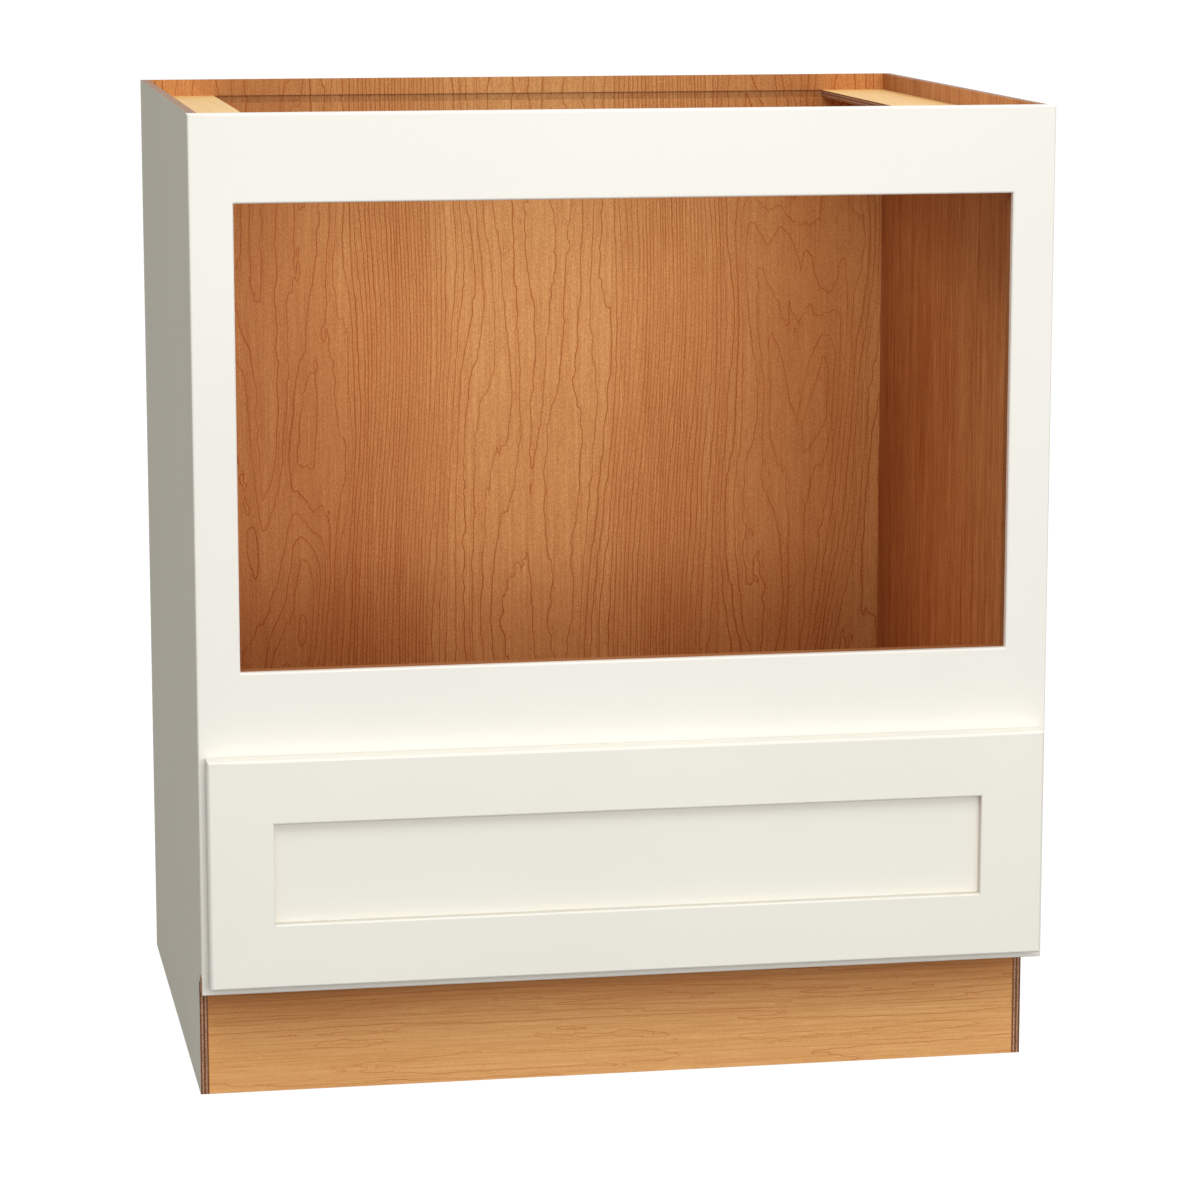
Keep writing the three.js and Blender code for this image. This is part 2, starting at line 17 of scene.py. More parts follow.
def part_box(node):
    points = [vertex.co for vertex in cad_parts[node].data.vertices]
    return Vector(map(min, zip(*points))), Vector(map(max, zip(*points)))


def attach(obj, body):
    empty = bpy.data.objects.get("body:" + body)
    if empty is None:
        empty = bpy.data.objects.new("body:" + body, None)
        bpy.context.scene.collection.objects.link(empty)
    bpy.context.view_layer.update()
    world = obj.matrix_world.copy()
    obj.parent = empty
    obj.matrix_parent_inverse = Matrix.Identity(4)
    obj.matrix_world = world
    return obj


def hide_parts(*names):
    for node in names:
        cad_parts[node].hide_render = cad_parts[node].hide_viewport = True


bl_info = {
    "name": "Microwave Base Cabinet",
    "version": (1, 0, 0),
    "blender": (4, 5, 0),
    "location": "3D View > Sidebar > Cabinet",
    "description": "Paint, veneer, drawer joints and fittings of a base cabinet for a microwave",
    "category": "Object",
}

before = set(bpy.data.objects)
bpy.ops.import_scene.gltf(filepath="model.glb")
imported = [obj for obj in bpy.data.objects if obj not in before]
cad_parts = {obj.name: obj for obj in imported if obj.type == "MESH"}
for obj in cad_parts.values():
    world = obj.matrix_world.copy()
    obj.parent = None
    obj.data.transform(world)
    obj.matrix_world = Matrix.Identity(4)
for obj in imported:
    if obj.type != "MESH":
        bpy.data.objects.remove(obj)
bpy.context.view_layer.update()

MM = 0.001
TAU = 2 * math.pi
X, Y = 0, 1

FRAME_LOW, FRAME_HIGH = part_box("face_frame_left_stile")
RIGHT_STILE_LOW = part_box("face_frame_right_stile")[0]
SIDE_LOW, SIDE_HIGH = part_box("side_panel_right")
BACK_LOW, BACK_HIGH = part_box("back_panel")
STRIP_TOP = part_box("top_strip_left")[1].z
BOX_FRONT_LOW, BOX_FRONT_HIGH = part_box("drawer_box_front")

FRAME_MEMBERS = (
    "face_frame_left_stile",
    "face_frame_right_stile",
    "face_frame_top_rail",
    "face_frame_mid_rail",
    "face_frame_bottom_rail",
)
FRONT_MEMBERS = (
    "drawer_front_left_stile",
    "drawer_front_right_stile",
    "drawer_front_top_rail",
    "drawer_front_bottom_rail",
)
SIDES = ("left", "right")


def screen_colour(red, green, blue):
    """The linear colour of a red, green and blue from 0 to 255 as a screen shows them."""
    linear = []
    for value in (red, green, blue):
        share = value / 255
        linear.append(share / 12.92 if share <= 0.04045 else ((share + 0.055) / 1.055) ** 2.4)
    return tuple(linear)


# Sizes and colours that a user would change.


def colour_property(name, description, red, green, blue):
    """A colour picker whose default is given as a screen shows it."""
    return FloatVectorProperty(
        name=name,
        description=description,
        subtype="COLOR",
        size=3,
        min=0,
        max=1,
        default=screen_colour(red, green, blue),
    )


def length_property(name, description, default, low, high):
    """A length, with its default and limits in millimetres."""
    return FloatProperty(
        name=name,
        description=description,
        unit="LENGTH",
        default=default * MM,
        min=low * MM,
        max=high * MM,
    )


def power_property(name, description, watts):
    """The power of a lamp."""
    return FloatProperty(
        name=name, description=description, unit="POWER", default=watts, min=0
    )


class CabinetPaintSettings(bpy.types.PropertyGroup):
    """The painted front and sides."""

    colour: colour_property("Paint", "Warm white of the face frame", 243, 240, 231)
    # The drawer front's paint is the frame's paint, a shade darker and warmer: painted shade.
    shaded_front_paint: colour_property("Front paint", "Warm white of the drawer front", 240, 237, 226)
    # The outer sides' paint is the frame's paint made darker: painted shade. Its finish is flat.
    shaded_side_paint: colour_property("Side paint", "Flat paint of the outer sides", 229, 224, 208)
    gloss: FloatProperty(
        name="Roughness",
        description="Roughness of the satin paint",
        subtype="FACTOR",
        default=0.38,
        min=0.05,
        max=1,
    )
    frame_easing: length_property(
        "Frame easing", "How far the frame's chamfered edges are rounded over", 0.6, 0.1, 0.8
    )
    front_easing: length_property(
        "Drawer front easing", "How far the drawer front's chamfered edges are rounded over",
        0.6, 0.1, 0.7,
    )
    painted_depth: length_property(
        "Painted depth", "How far the paint runs back along the inside of the frame's openings",
        7, 0, 19,
    )


class CabinetWoodSettings(bpy.types.PropertyGroup):
    """Veneer, plywood and solid wood."""

    veneer_light: colour_property(
        "Veneer, light", "Light wood of the interior veneer", 223, 161, 97
    )
    veneer_dark: colour_property("Veneer, dark", "Darker wood of the interior veneer", 201, 132, 72)
    veneer_line: colour_property(
        "Veneer, lines", "Growth lines of the interior veneer", 174, 82, 10
    )
    wall_light: colour_property(
        "Wall veneer, light", "Light wood inside the side panels", 212, 150, 93
    )
    wall_dark: colour_property(
        "Wall veneer, dark", "Darker wood inside the side panels", 198, 130, 75
    )
    deck_light: colour_property("Deck, light", "Light wood of the deck and floor", 190, 124, 70)
    deck_dark: colour_property("Deck, dark", "Darker wood of the deck and floor", 166, 100, 52)
    deck_line: colour_property("Deck, lines", "Growth lines of the deck and floor", 134, 66, 24)
    maple_light: colour_property("Maple, light", "Light wood of the top strips", 239, 198, 127)
    maple_dark: colour_property("Maple, dark", "Darker wood of the top strips", 232, 180, 107)
    maple_line: colour_property("Maple, lines", "Growth lines of the top strips", 205, 150, 90)
    toe_light: colour_property("Toe board, light", "Light wood of the toe board", 239, 178, 112)
    toe_dark: colour_property("Toe board, dark", "Darker wood of the toe board", 216, 145, 77)
    toe_line: colour_property("Toe board, lines", "Growth lines of the toe board", 199, 118, 57)
    rear_light: colour_property("Rear, light", "Light wood of the back's rear face", 222, 184, 138)
    rear_dark: colour_property("Rear, dark", "Darker wood of the back's rear face", 203, 162, 114)
    rear_line: colour_property("Rear, lines", "Growth lines of the back's rear face", 160, 108, 66)
    drawer_light: colour_property("Drawer, light", "Light wood of the drawer box", 238, 212, 172)
    drawer_dark: colour_property("Drawer, dark", "Darker wood of the drawer box", 222, 190, 144)
    drawer_line: colour_property("Drawer, lines", "Growth lines of the drawer box", 186, 140, 92)
    drawer_end: colour_property(
        "Drawer, end grain", "End grain at the drawer's joints", 205, 164, 112
    )
    ply_light: colour_property(
        "Plywood edge, light", "Long-grain plies at a cut edge", 190, 146, 116
    )
    ply_dark: colour_property("Plywood edge, dark", "End-grain plies at a cut edge", 124, 78, 52)


class CabinetMetalSettings(bpy.types.PropertyGroup):
    """Slides, screws and moulded fittings."""

    zinc: colour_property("Zinc", "Zinc plating of the slides", 196, 199, 202)
    nylon: colour_property("Nylon", "Grey nylon of the brackets and clips", 141, 144, 146)
    lever: colour_property("Lever", "Orange nylon of the release levers", 214, 110, 44)
    rubber: colour_property("Rubber", "Pale rubber of the closing bumpers", 225, 226, 224)
    arris: length_property(
        "Arris", "Width of the broken edge on wood and plywood", 0.3, 0.05, 1
    )


class CabinetStageSettings(bpy.types.PropertyGroup):
    """Floor, lights and camera."""

    lens: FloatProperty(
        name="Lens",
        description="Focal length on a 36 mm sensor",
        default=124.23,
        min=20,
        max=400,
    )
    camera_place: FloatVectorProperty(
        name="Camera place",
        description="Where the camera stands",
        subtype="TRANSLATION",
        unit="LENGTH",
        size=3,
        default=(-0.662, -3.80725, 1.081),
    )
    camera_pan: FloatProperty(
        name="Camera pan",
        description="Turn of the camera from the wall's direction towards the right",
        unit="ROTATION",
        default=math.radians(10.23),
    )
    camera_tilt: FloatProperty(
        name="Camera tilt",
        description="Turn of the camera down from level",
        unit="ROTATION",
        default=math.radians(10.02),
    )
    front_power: power_property("Front light", "Power of the level softbox in front", 41)
    high_power: power_property("High light", "Power of the softbox high up in front", 33.5)
    top_power: power_property("Top light", "Power of the softbox overhead", 11)
    room_light: FloatProperty(
        name="Room light",
        description="Strength of the even light from all around",
        default=0.62,
        min=0,
        max=1,
    )
    floor_colour: colour_property("Floor", "Pale floor", 125, 125, 125)


# Node trees.


class NodeSheet:
    """Adds nodes to one tree. An input is given as a value, or as the socket that feeds it."""

    def __init__(self, tree):
        self.tree = tree

    def add(self, kind, inputs=None, **settings):
        node = self.tree.nodes.new(kind)
        for name, value in settings.items():
            setattr(node, name, value)
        for key, value in (inputs or {}).items():
            self.feed(node.inputs[key], value)
        return node

    def feed(self, socket, value):
        if isinstance(value, bpy.types.NodeSocket):
            self.tree.links.new(value, socket)
        elif socket.type == "RGBA" and len(value) == 3:
            socket.default_value = (*value, 1)
        else:
            socket.default_value = value

    def math(self, operation, a, b=0.0, c=0.0):
        return self.add("ShaderNodeMath", {0: a, 1: b, 2: c}, operation=operation).outputs[0]

    def plus(self, a, b):
        return self.math("ADD", a, b)

    def minus(self, a, b):
        return self.math("SUBTRACT", a, b)

    def times(self, a, b):
        return self.math("MULTIPLY", a, b)

    def times_plus(self, a, b, c):
        return self.math("MULTIPLY_ADD", a, b, c)

    def over(self, a, b):
        return self.math("DIVIDE", a, b)

    def larger(self, a, b):
        return self.math("MAXIMUM", a, b)

    def smaller(self, a, b):
        return self.math("MINIMUM", a, b)

    def scaled(self, vector, factors):
        """A vector with each part multiplied by its own factor."""
        inputs = {0: vector, 1: factors}
        return self.add("ShaderNodeVectorMath", inputs, operation="MULTIPLY").outputs[0]

    def moved(self, vector, offset):
        return self.add("ShaderNodeVectorMath", {0: vector, 1: offset}, operation="ADD").outputs[0]

    def parts(self, vector):
        return self.add("ShaderNodeSeparateXYZ", {0: vector}).outputs

    def joined(self, x, y, z):
        return self.add("ShaderNodeCombineXYZ", {0: x, 1: y, 2: z}).outputs[0]

    def noise(self, vector, scale, detail=1.0, roughness=0.5):
        """A noise from 0 to 1, with its own scale along each axis, per metre."""
        inputs = {
            "Vector": self.scaled(vector, scale), "Scale": 1.0, "Detail": detail,
            "Roughness": roughness,
        }
        return self.add("ShaderNodeTexNoise", inputs).outputs[0]

    def swing(self, noise, amount):
        """A noise from 0 to 1 turned into one around 0, times an amount."""
        return self.times(self.minus(noise, 0.5), amount)

    def ramp(self, value, low, high, start=0.0, end=1.0):
        """Start below low, end above high, and a smooth step between them."""
        inputs = {"Value": value, "From Min": low, "From Max": high, "To Min": start, "To Max": end}
        return self.add("ShaderNodeMapRange", inputs, interpolation_type="SMOOTHSTEP").outputs[0]

    def ramp_line(self, share, start, end):
        """Start where share is 0, end where it is 1, and evenly between them."""
        return self.add("ShaderNodeMix", {0: share, 2: start, 3: end}).outputs[0]

    def above(self, value, edge, soft=0.05 * MM):
        """1 where a value is above an edge."""
        return self.ramp(value, edge - soft, edge + soft)

    def below(self, value, edge, soft=0.05 * MM):
        """1 where a value is below an edge."""
        return self.ramp(value, edge - soft, edge + soft, 1.0, 0.0)

    def mix(self, factor, a, b):
        """Colour a where factor is 0 and b where it is 1."""
        return self.add("ShaderNodeMix", {0: factor, 6: a, 7: b}, data_type="RGBA").outputs[2]

    def mix_vectors(self, factor, a, b):
        return self.add("ShaderNodeMix", {0: factor, 4: a, 5: b}, data_type="VECTOR").outputs[1]

    def brightened(self, colour, factor):
        """A colour multiplied by one number."""
        inputs = {0: colour, "Scale": factor}
        return self.add("ShaderNodeVectorMath", inputs, operation="SCALE").outputs[0]

    def seen(self):
        """1 for rays that show what they meet: from the camera, a gloss or a clear piece."""
        rays = self.add("ShaderNodeLightPath").outputs
        seen = self.larger(rays["Is Camera Ray"], rays["Is Glossy Ray"])
        return self.larger(seen, rays["Is Transmission Ray"])


def place_group(sheet, group, inputs):
    """A group placed in a tree with its own values, as its outputs."""
    node = sheet.add("ShaderNodeGroup", node_tree=group)
    for key, value in inputs.items():
        sheet.feed(node.inputs[key], value)
    return node.outputs


SOCKET_KINDS = {
    "value": "NodeSocketFloat",
    "vector": "NodeSocketVector",
    "colour": "NodeSocketColor",
}
SURFACE_OUTPUTS = (("Color", "colour"), ("Height", "value"), ("Gloss", "value"))


def shader_group(name, inputs, outputs, build):
    """A node group, built once. Inputs are (name, kind, default) and outputs (name, kind)."""
    tree = bpy.data.node_groups.get(name)
    if tree:
        return tree
    tree = bpy.data.node_groups.new(name, "ShaderNodeTree")
    for socket_name, kind, default in inputs:
        socket = tree.interface.new_socket(
            socket_name, in_out="INPUT", socket_type=SOCKET_KINDS[kind]
        )
        if default is not None:
            socket.default_value = default
    for socket_name, kind in outputs:
        tree.interface.new_socket(socket_name, in_out="OUTPUT", socket_type=SOCKET_KINDS[kind])
    sheet = NodeSheet(tree)
    given = sheet.add("NodeGroupInput").outputs
    result = sheet.add("NodeGroupOutput")
    for socket_name, socket in build(sheet, given).items():
        sheet.feed(result.inputs[socket_name], socket)
    return tree


# Wood. In every wood group the vector's X runs across the grain and its Z along it.

# The width over which a leaf's figure repeats.
FIGURE_PERIOD = 0.55
# How fast the rings still pass at an arch's middle, as a share of their fastest, and how much
# of that every second arch loses.
FOLD_PACE = 0.18
QUIET_FOLD = 0.06
# How far an arch drops per metre across the grain.
ARCH_STEEPNESS = 3.6
RING_SOCKETS = (
    ("Vector", "vector", None),
    ("Rings", "value", 240.0),
    ("Openness", "value", 1.0),
    ("Open Place", "value", 0.0),
    ("Wander", "value", 6.5),
    ("Arches", "value", 9.0),
    ("Jogs", "value", 0.35),
    ("Seed", "value", 0.0),
)
LINE_SOCKETS = (*RING_SOCKETS, ("Line Width", "value", 0.9 * MM))


def ring_count_group():
    """How many growth rings lie between a point and the heart of the log it was cut from.

    A flat-cut leaf has its arches where the knife ran level with the rings, at Open Place and
    half a period on, and close straight lines between them. Openness 0 gives straight lines only.
    """

    def build(sheet, given):
        point = given["Vector"]
        parts = sheet.parts(point)
        across, along = parts[0], parts[2]
        seeded = sheet.moved(point, sheet.joined(0.0, given["Seed"], 0.0))
        bend = sheet.noise(seeded, (1.5, 1.5, 2.5), detail=0.0)
        turn = sheet.minus(across, given["Open Place"])
        turn = sheet.plus(turn, sheet.swing(bend, 40 * MM))
        turn = sheet.times(turn, TAU / FIGURE_PERIOD)
        turn = sheet.math("PINGPONG", turn, math.pi)
        sine = sheet.math("SINE", turn)
        double = sheet.math("SINE", sheet.times(turn, 2.0))
        fourfold = sheet.math("SINE", sheet.times(turn, 4.0))
        arches = sheet.times(double, -1 / 4)
        arches = sheet.times_plus(fourfold, 1 / 32, arches)
        arches = sheet.times_plus(turn, 3 / 8 + FOLD_PACE, arches)
        arches = sheet.times_plus(sine, -QUIET_FOLD, arches)
        arches = sheet.times(arches, FIGURE_PERIOD / TAU)
        place = sheet.ramp_line(given["Openness"], across, arches)
        rings = sheet.times(place, given["Rings"])

        wild = sheet.times_plus(sheet.math("COSINE", turn), 0.35, 0.65)
        close = sheet.math("POWER", sine, 4.0)
        open_share = sheet.times_plus(close, -0.9, 1.0)
        wild = sheet.times(wild, open_share)
        wild = sheet.ramp_line(given["Openness"], 0.34, wild)
        broad = sheet.noise(seeded, (24, 24, 5.5), detail=1.4, roughness=0.4)
        broad = sheet.times(sheet.swing(broad, given["Wander"]), wild)
        from_arch = sheet.math("ABSOLUTE", sheet.minus(turn, math.pi / 2))
        from_arch = sheet.minus(math.pi / 2, from_arch)
        from_arch = sheet.times(from_arch, FIGURE_PERIOD / TAU)
        raised = sheet.times_plus(from_arch, -ARCH_STEEPNESS, along)
        raised = sheet.joined(across, given["Seed"], raised)
        arch = sheet.noise(raised, (5, 1, 3.4), detail=0.5)
        arch = sheet.times(sheet.swing(arch, given["Arches"]), wild)
        arch = sheet.times(arch, given["Openness"])
        jogs = sheet.noise(seeded, (130, 130, 45), detail=1.0)
        spacing = sheet.noise(seeded, (95, 1, 0.8), detail=0.0)
        spacing = sheet.swing(spacing, sheet.ramp_line(close, 0.5, 2.0))
        total = sheet.plus(sheet.swing(jogs, given["Jogs"]), spacing)
        total = sheet.plus(sheet.plus(total, rings), sheet.plus(broad, arch))
        return {"Count": total}

    return shader_group("Ring count", RING_SOCKETS, (("Count", "value"),), build)


# How far apart the ring count is read to find how fast the rings pass.
RING_STEP = 0.4 * MM


def growth_lines_group():
    """Thin growth lines, of one width however fast the rings pass."""

    def build(sheet, given):
        rings = ring_count_group()
        shared = {socket[0]: given[socket[0]] for socket in RING_SOCKETS}
        point = given["Vector"]
        counts = []
        for offset in ((0, 0, 0), (RING_STEP, 0, 0), (0, 0, RING_STEP)):
            near = sheet.moved(point, offset)
            counts.append(place_group(sheet, rings, {**shared, "Vector": near})["Count"])
        here, beside, along = counts
        step_x = sheet.minus(beside, here)
        step_z = sheet.minus(along, here)
        squares = sheet.times(step_x, step_x)
        squares = sheet.times_plus(step_z, step_z, squares)
        pace = sheet.over(sheet.math("SQRT", squares), RING_STEP)
        pace = sheet.larger(pace, 2.0)
        share = sheet.math("FRACT", here)
        near_edge = sheet.smaller(share, sheet.minus(1.0, share))
        distance = sheet.over(near_edge, pace)
        before = sheet.over(sheet.minus(1.0, share), pace)
        number = sheet.math("ROUND", here)
        chance = sheet.add("ShaderNodeTexWhiteNoise", {"W": number}, noise_dimensions="1D")
        chance = chance.outputs["Value"]
        line = sheet.ramp(distance, 0.2 * MM, given["Line Width"], 1.0, 0.0)
        line = sheet.times(line, sheet.ramp(pace, 60.0, 200.0, 1.0, 0.9))
        line = sheet.times(line, sheet.ramp_line(chance, 0.72, 1.0))
        shade = sheet.ramp(before, 0.0, 6 * MM, 1.0, 0.0)
        shade = sheet.times(shade, sheet.ramp(pace, 30.0, 130.0, 1.0, 0.2))
        fine_share = sheet.math("FRACT", sheet.times(here, 2.73))
        fine_share = sheet.math("ABSOLUTE", sheet.minus(fine_share, 0.5))
        fine = sheet.ramp(fine_share, 0.2, 0.45, 0.0, 1.0)
        fine = sheet.times(fine, sheet.ramp(pace, 60.0, 180.0, 0.0, 0.4))
        return {"Line": sheet.larger(line, fine), "Shade": shade}

    outputs = (("Line", "value"), ("Shade", "value"))
    return shader_group("Growth lines", LINE_SOCKETS, outputs, build)


# How strongly a dark fibre takes away red, green and blue.
FIBRE_TINT = (0.55, 1.0, 1.4)


def wood_group():
    """Colour, bump height and a gloss mask of a wood surface with clear finish."""

    def build(sheet, given):
        point = sheet.moved(given["Vector"], sheet.joined(0.0, given["Seed"], 0.0))
        tone = sheet.noise(point, (7.5, 7.5, 1.3), detail=2.0)
        across = sheet.parts(given["Vector"])[0]
        turn = sheet.minus(across, given["Open Place"])
        open_tone = sheet.math("COSINE", sheet.times(turn, TAU / FIGURE_PERIOD))
        open_tone = sheet.times(open_tone, given["Openness"])
        tone = sheet.times_plus(tone, 0.6, sheet.times(open_tone, 0.2))
        tone = sheet.ramp(tone, 0.15, 0.6)
        colour = sheet.mix(tone, given["Light"], given["Dark"])

        shared = {socket[0]: given[socket[0]] for socket in LINE_SOCKETS}
        lines = place_group(sheet, growth_lines_group(), shared)
        fade = sheet.noise(point, (34, 34, 5), detail=1.0)
        fade = sheet.ramp(fade, 0.36, 0.62, 0.75, 1.0)
        line = sheet.times(lines["Line"], fade)
        line = sheet.times(line, given["Line Strength"])
        shade = sheet.times(lines["Shade"], sheet.times(fade, given["Shade"]))
        fleck = sheet.noise(point, (150, 150, 50), detail=1.5)
        fleck = sheet.ramp(fleck, 0.68, 0.8, 0.0, 0.45)
        darkening = sheet.larger(sheet.larger(line, fleck), shade)
        colour = sheet.mix(darkening, colour, given["Line Colour"])

        coarse = sheet.noise(point, (300, 300, 6), detail=2.0, roughness=0.6)
        fine = sheet.noise(point, (850, 850, 30), detail=2.0, roughness=0.6)
        mottle = sheet.noise(point, (950, 950, 480), detail=0.0)
        fibres = sheet.plus(sheet.swing(coarse, 1.0), sheet.swing(fine, 1.0))
        speckle = sheet.swing(mottle, sheet.times(given["Speckle"], 1.1))
        fibres = sheet.plus(fibres, speckle)
        streak = sheet.times(fibres, given["Fibre"])
        parts = [sheet.times_plus(streak, share, 1.0) for share in FIBRE_TINT]
        colour = sheet.scaled(colour, sheet.joined(*parts))

        height = sheet.times_plus(line, -0.5, sheet.times(fibres, 0.6))
        gloss = sheet.times_plus(fibres, 0.12, sheet.times(line, 0.06))
        return {"Color": colour, "Height": height, "Gloss": gloss}

    inputs = (
        *LINE_SOCKETS,
        ("Light", "colour", None),
        ("Dark", "colour", None),
        ("Line Colour", "colour", None),
        ("Line Strength", "value", 0.75),
        ("Shade", "value", 0.2),
        ("Fibre", "value", 0.35),
        ("Speckle", "value", 1.0),
    )
    return shader_group("Clear-finished wood", inputs, SURFACE_OUTPUTS, build)


GLUE_COLOUR = (0.05, 0.03, 0.02)


def ply_edge_group():
    """The cut edge of plywood. Depth runs from 0 at one face of the board to 1 at the other."""

    def build(sheet, given):
        layer = sheet.times(given["Depth"], given["Plies"])
        wobble = sheet.noise(given["Vector"], (60, 60, 60), detail=1.0)
        layer = sheet.times_plus(sheet.minus(wobble, 0.5), 0.3, layer)
        number = sheet.math("FLOOR", layer)
        odd = sheet.math("MODULO", sheet.math("ABSOLUTE", number), 2.0)
        long_grain = sheet.noise(given["Vector"], (90, 90, 90), detail=3.0)
        end_grain = sheet.noise(given["Vector"], (1100, 1100, 1100), detail=2.0)
        pores = sheet.ramp(end_grain, 0.3, 0.7, 0.45, 1.55)
        light = sheet.times(sheet.ramp(long_grain, 0.3, 0.7, 0.85, 1.1), pores)
        light = sheet.brightened(given["Light"], light)
        dark = sheet.brightened(given["Dark"], pores)
        colour = sheet.mix(odd, dark, light)
        share = sheet.math("FRACT", layer)
        glue = sheet.smaller(share, sheet.minus(1.0, share))
        glue = sheet.ramp(glue, 0.03, 0.12, 0.55, 0.0)
        colour = sheet.mix(glue, colour, GLUE_COLOUR)
        return {"Color": colour, "Height": end_grain}

    inputs = (
        ("Vector", "vector", None),
        ("Depth", "value", 0.5),
        ("Plies", "value", 5.0),
        ("Light", "colour", None),
        ("Dark", "colour", None),
    )
    return shader_group("Plywood edge", inputs, (("Color", "colour"), ("Height", "value")), build)


def paint_group():
    """Sprayed satin paint: a faint cloudiness and the fine unevenness of the film."""

    def build(sheet, given):
        cloud = sheet.noise(given["Vector"], (5, 5, 5), detail=2.0)
        cloud = sheet.ramp(cloud, 0.3, 0.7, 0.988, 1.006)
        film = sheet.noise(given["Vector"], (420, 420, 420), detail=1.0)
        colour = sheet.brightened(given["Paint"], cloud)
        return {"Color": colour, "Height": film, "Gloss": sheet.swing(film, 0.08)}

    inputs = (("Vector", "vector", None), ("Paint", "colour", None))
    return shader_group("Sprayed paint", inputs, SURFACE_OUTPUTS, build)


def streaked_group():
    """Rolled metal: long streaks, a soft cloudiness and small scuffs."""

    def build(sheet, given):
        streak = sheet.noise(given["Vector"], (1400, 9, 1400), detail=3.0)
        cloud = sheet.noise(given["Vector"], (45, 45, 45), detail=3.0)
        scuff = sheet.noise(given["Vector"], (500, 35, 500), detail=2.0)
        scuff = sheet.ramp(scuff, 0.66, 0.74)
        bright = sheet.times_plus(sheet.minus(streak, 0.5), 0.3, 1.0)
        bright = sheet.times_plus(sheet.minus(cloud, 0.5), 0.25, bright)
        colour = sheet.brightened(given["Metal"], bright)
        gloss = sheet.times_plus(scuff, 0.15, sheet.swing(cloud, 0.3))
        return {"Color": colour, "Height": streak, "Gloss": gloss}

    inputs = (("Vector", "vector", None), ("Metal", "colour", None))
    return shader_group("Rolled metal", inputs, SURFACE_OUTPUTS, build)


def moulded_group():
    """Moulded plastic: fine spark texture and slight colour drift."""

    def build(sheet, given):
        spark = sheet.noise(given["Vector"], (2600, 2600, 2600), detail=1.0)
        drift = sheet.noise(given["Vector"], (70, 70, 70), detail=2.0)
        colour = sheet.brightened(given["Plastic"], sheet.ramp(drift, 0.3, 0.7, 0.93, 1.05))
        return {"Color": colour, "Height": spark, "Gloss": sheet.swing(drift, 0.2)}

    inputs = (("Vector", "vector", None), ("Plastic", "colour", None))
    return shader_group("Moulded plastic", inputs, SURFACE_OUTPUTS, build)


# Materials.


class Finish:
    """A new material, with its sheet, its point in object coordinates and its shader."""

    def __init__(self, name, **constants):
        self.material = bpy.data.materials.new(name)
        self.material.use_nodes = True
        tree = self.material.node_tree
        tree.nodes.clear()
        self.sheet = NodeSheet(tree)
        self.point = self.sheet.add("ShaderNodeTexCoord").outputs["Object"]
        self.x, self.y, self.z = self.sheet.parts(self.point)
        self.shader = self.sheet.add("ShaderNodeBsdfPrincipled")
        for socket_name, value in constants.items():
            self.sheet.feed(self.shader.inputs[socket_name.replace("_", " ")], value)
        output = self.sheet.add("ShaderNodeOutputMaterial")
        tree.links.new(self.shader.outputs[0], output.inputs["Surface"])

    def painted(self, colour):
        """Sprayed paint of one colour, as the paint group's outputs."""
        return place_group(self.sheet, paint_group(), {"Vector": self.point, "Paint": colour})

    def cut_plies(self, wood, depth, plies=5.0):
        """Cut plies at a depth from 0 to 1 through the board, as a colour."""
        inputs = {
            "Vector": self.point, "Depth": depth, "Plies": plies,
            "Light": wood.ply_light, "Dark": wood.ply_dark,
        }
        return place_group(self.sheet, ply_edge_group(), inputs)["Color"]

    def set(self, colour, roughness, height, bump_strength, bump_distance=0.1 * MM):
        sheet = self.sheet
        sheet.feed(self.shader.inputs["Base Color"], colour)
        sheet.feed(self.shader.inputs["Roughness"], roughness)
        inputs = {"Strength": bump_strength, "Distance": bump_distance, "Height": height}
        bump = sheet.add("ShaderNodeBump", inputs)
        sheet.feed(self.shader.inputs["Normal"], bump.outputs[0])
        return self.material


# The share of red, green and blue that a colour loses under full painted shade.
SHADE_LOSS = (0.3, 0.38, 0.42)


def grain_vector(finish, direction):
    """The point turned so that X runs across the board's face and Z along its grain."""
    x, y, z = finish.x, finish.y, finish.z
    turned = {
        "upright, grain left to right": (z, y, x),
        "upright, grain front to back": (z, x, y),
        "flat, grain left to right": (y, z, x),
        "flat, grain front to back": (x, z, y),
    }[direction]
    return finish.sheet.joined(*turned)


def painted_shade(sheet, colour, share):
    """A colour with painted shade: darkened and reddened where share is 1."""
    parts = [sheet.times_plus(share, -loss, 1.0) for loss in SHADE_LOSS]
    return sheet.scaled(colour, sheet.joined(*parts))


def veneer_values(wood, **changes):
    """The interior veneer's values for the wood group, with the changes that other wood needs."""
    values = {
        "Light": wood.veneer_light,
        "Dark": wood.veneer_dark,
        "Line Colour": wood.veneer_line,
        "Rings": 240.0,
        "Openness": 1.0,
        "Open Place": -0.27,
        "Wander": 6.0,
        "Arches": 14.0,
        "Jogs": 0.55,
        "Seed": 0.0,
        "Line Width": 0.85 * MM,
        "Line Strength": 1.0,
        "Shade": 0.15,
        "Fibre": 0.62,
        "Speckle": 1.1,
    }
    values.update({name.replace("_", " "): value for name, value in changes.items()})
    return values


# How near to a member's outer plane a point counts as on that face.
FACE_REACH = 0.3 * MM
# How far in the recess's eased edge ends, and how much of the painted shade its ledge gets.
RECESS_EDGE = 1.2 * MM
LEDGE_SHARE = 0.3
PAINT_BUMP = 0.05


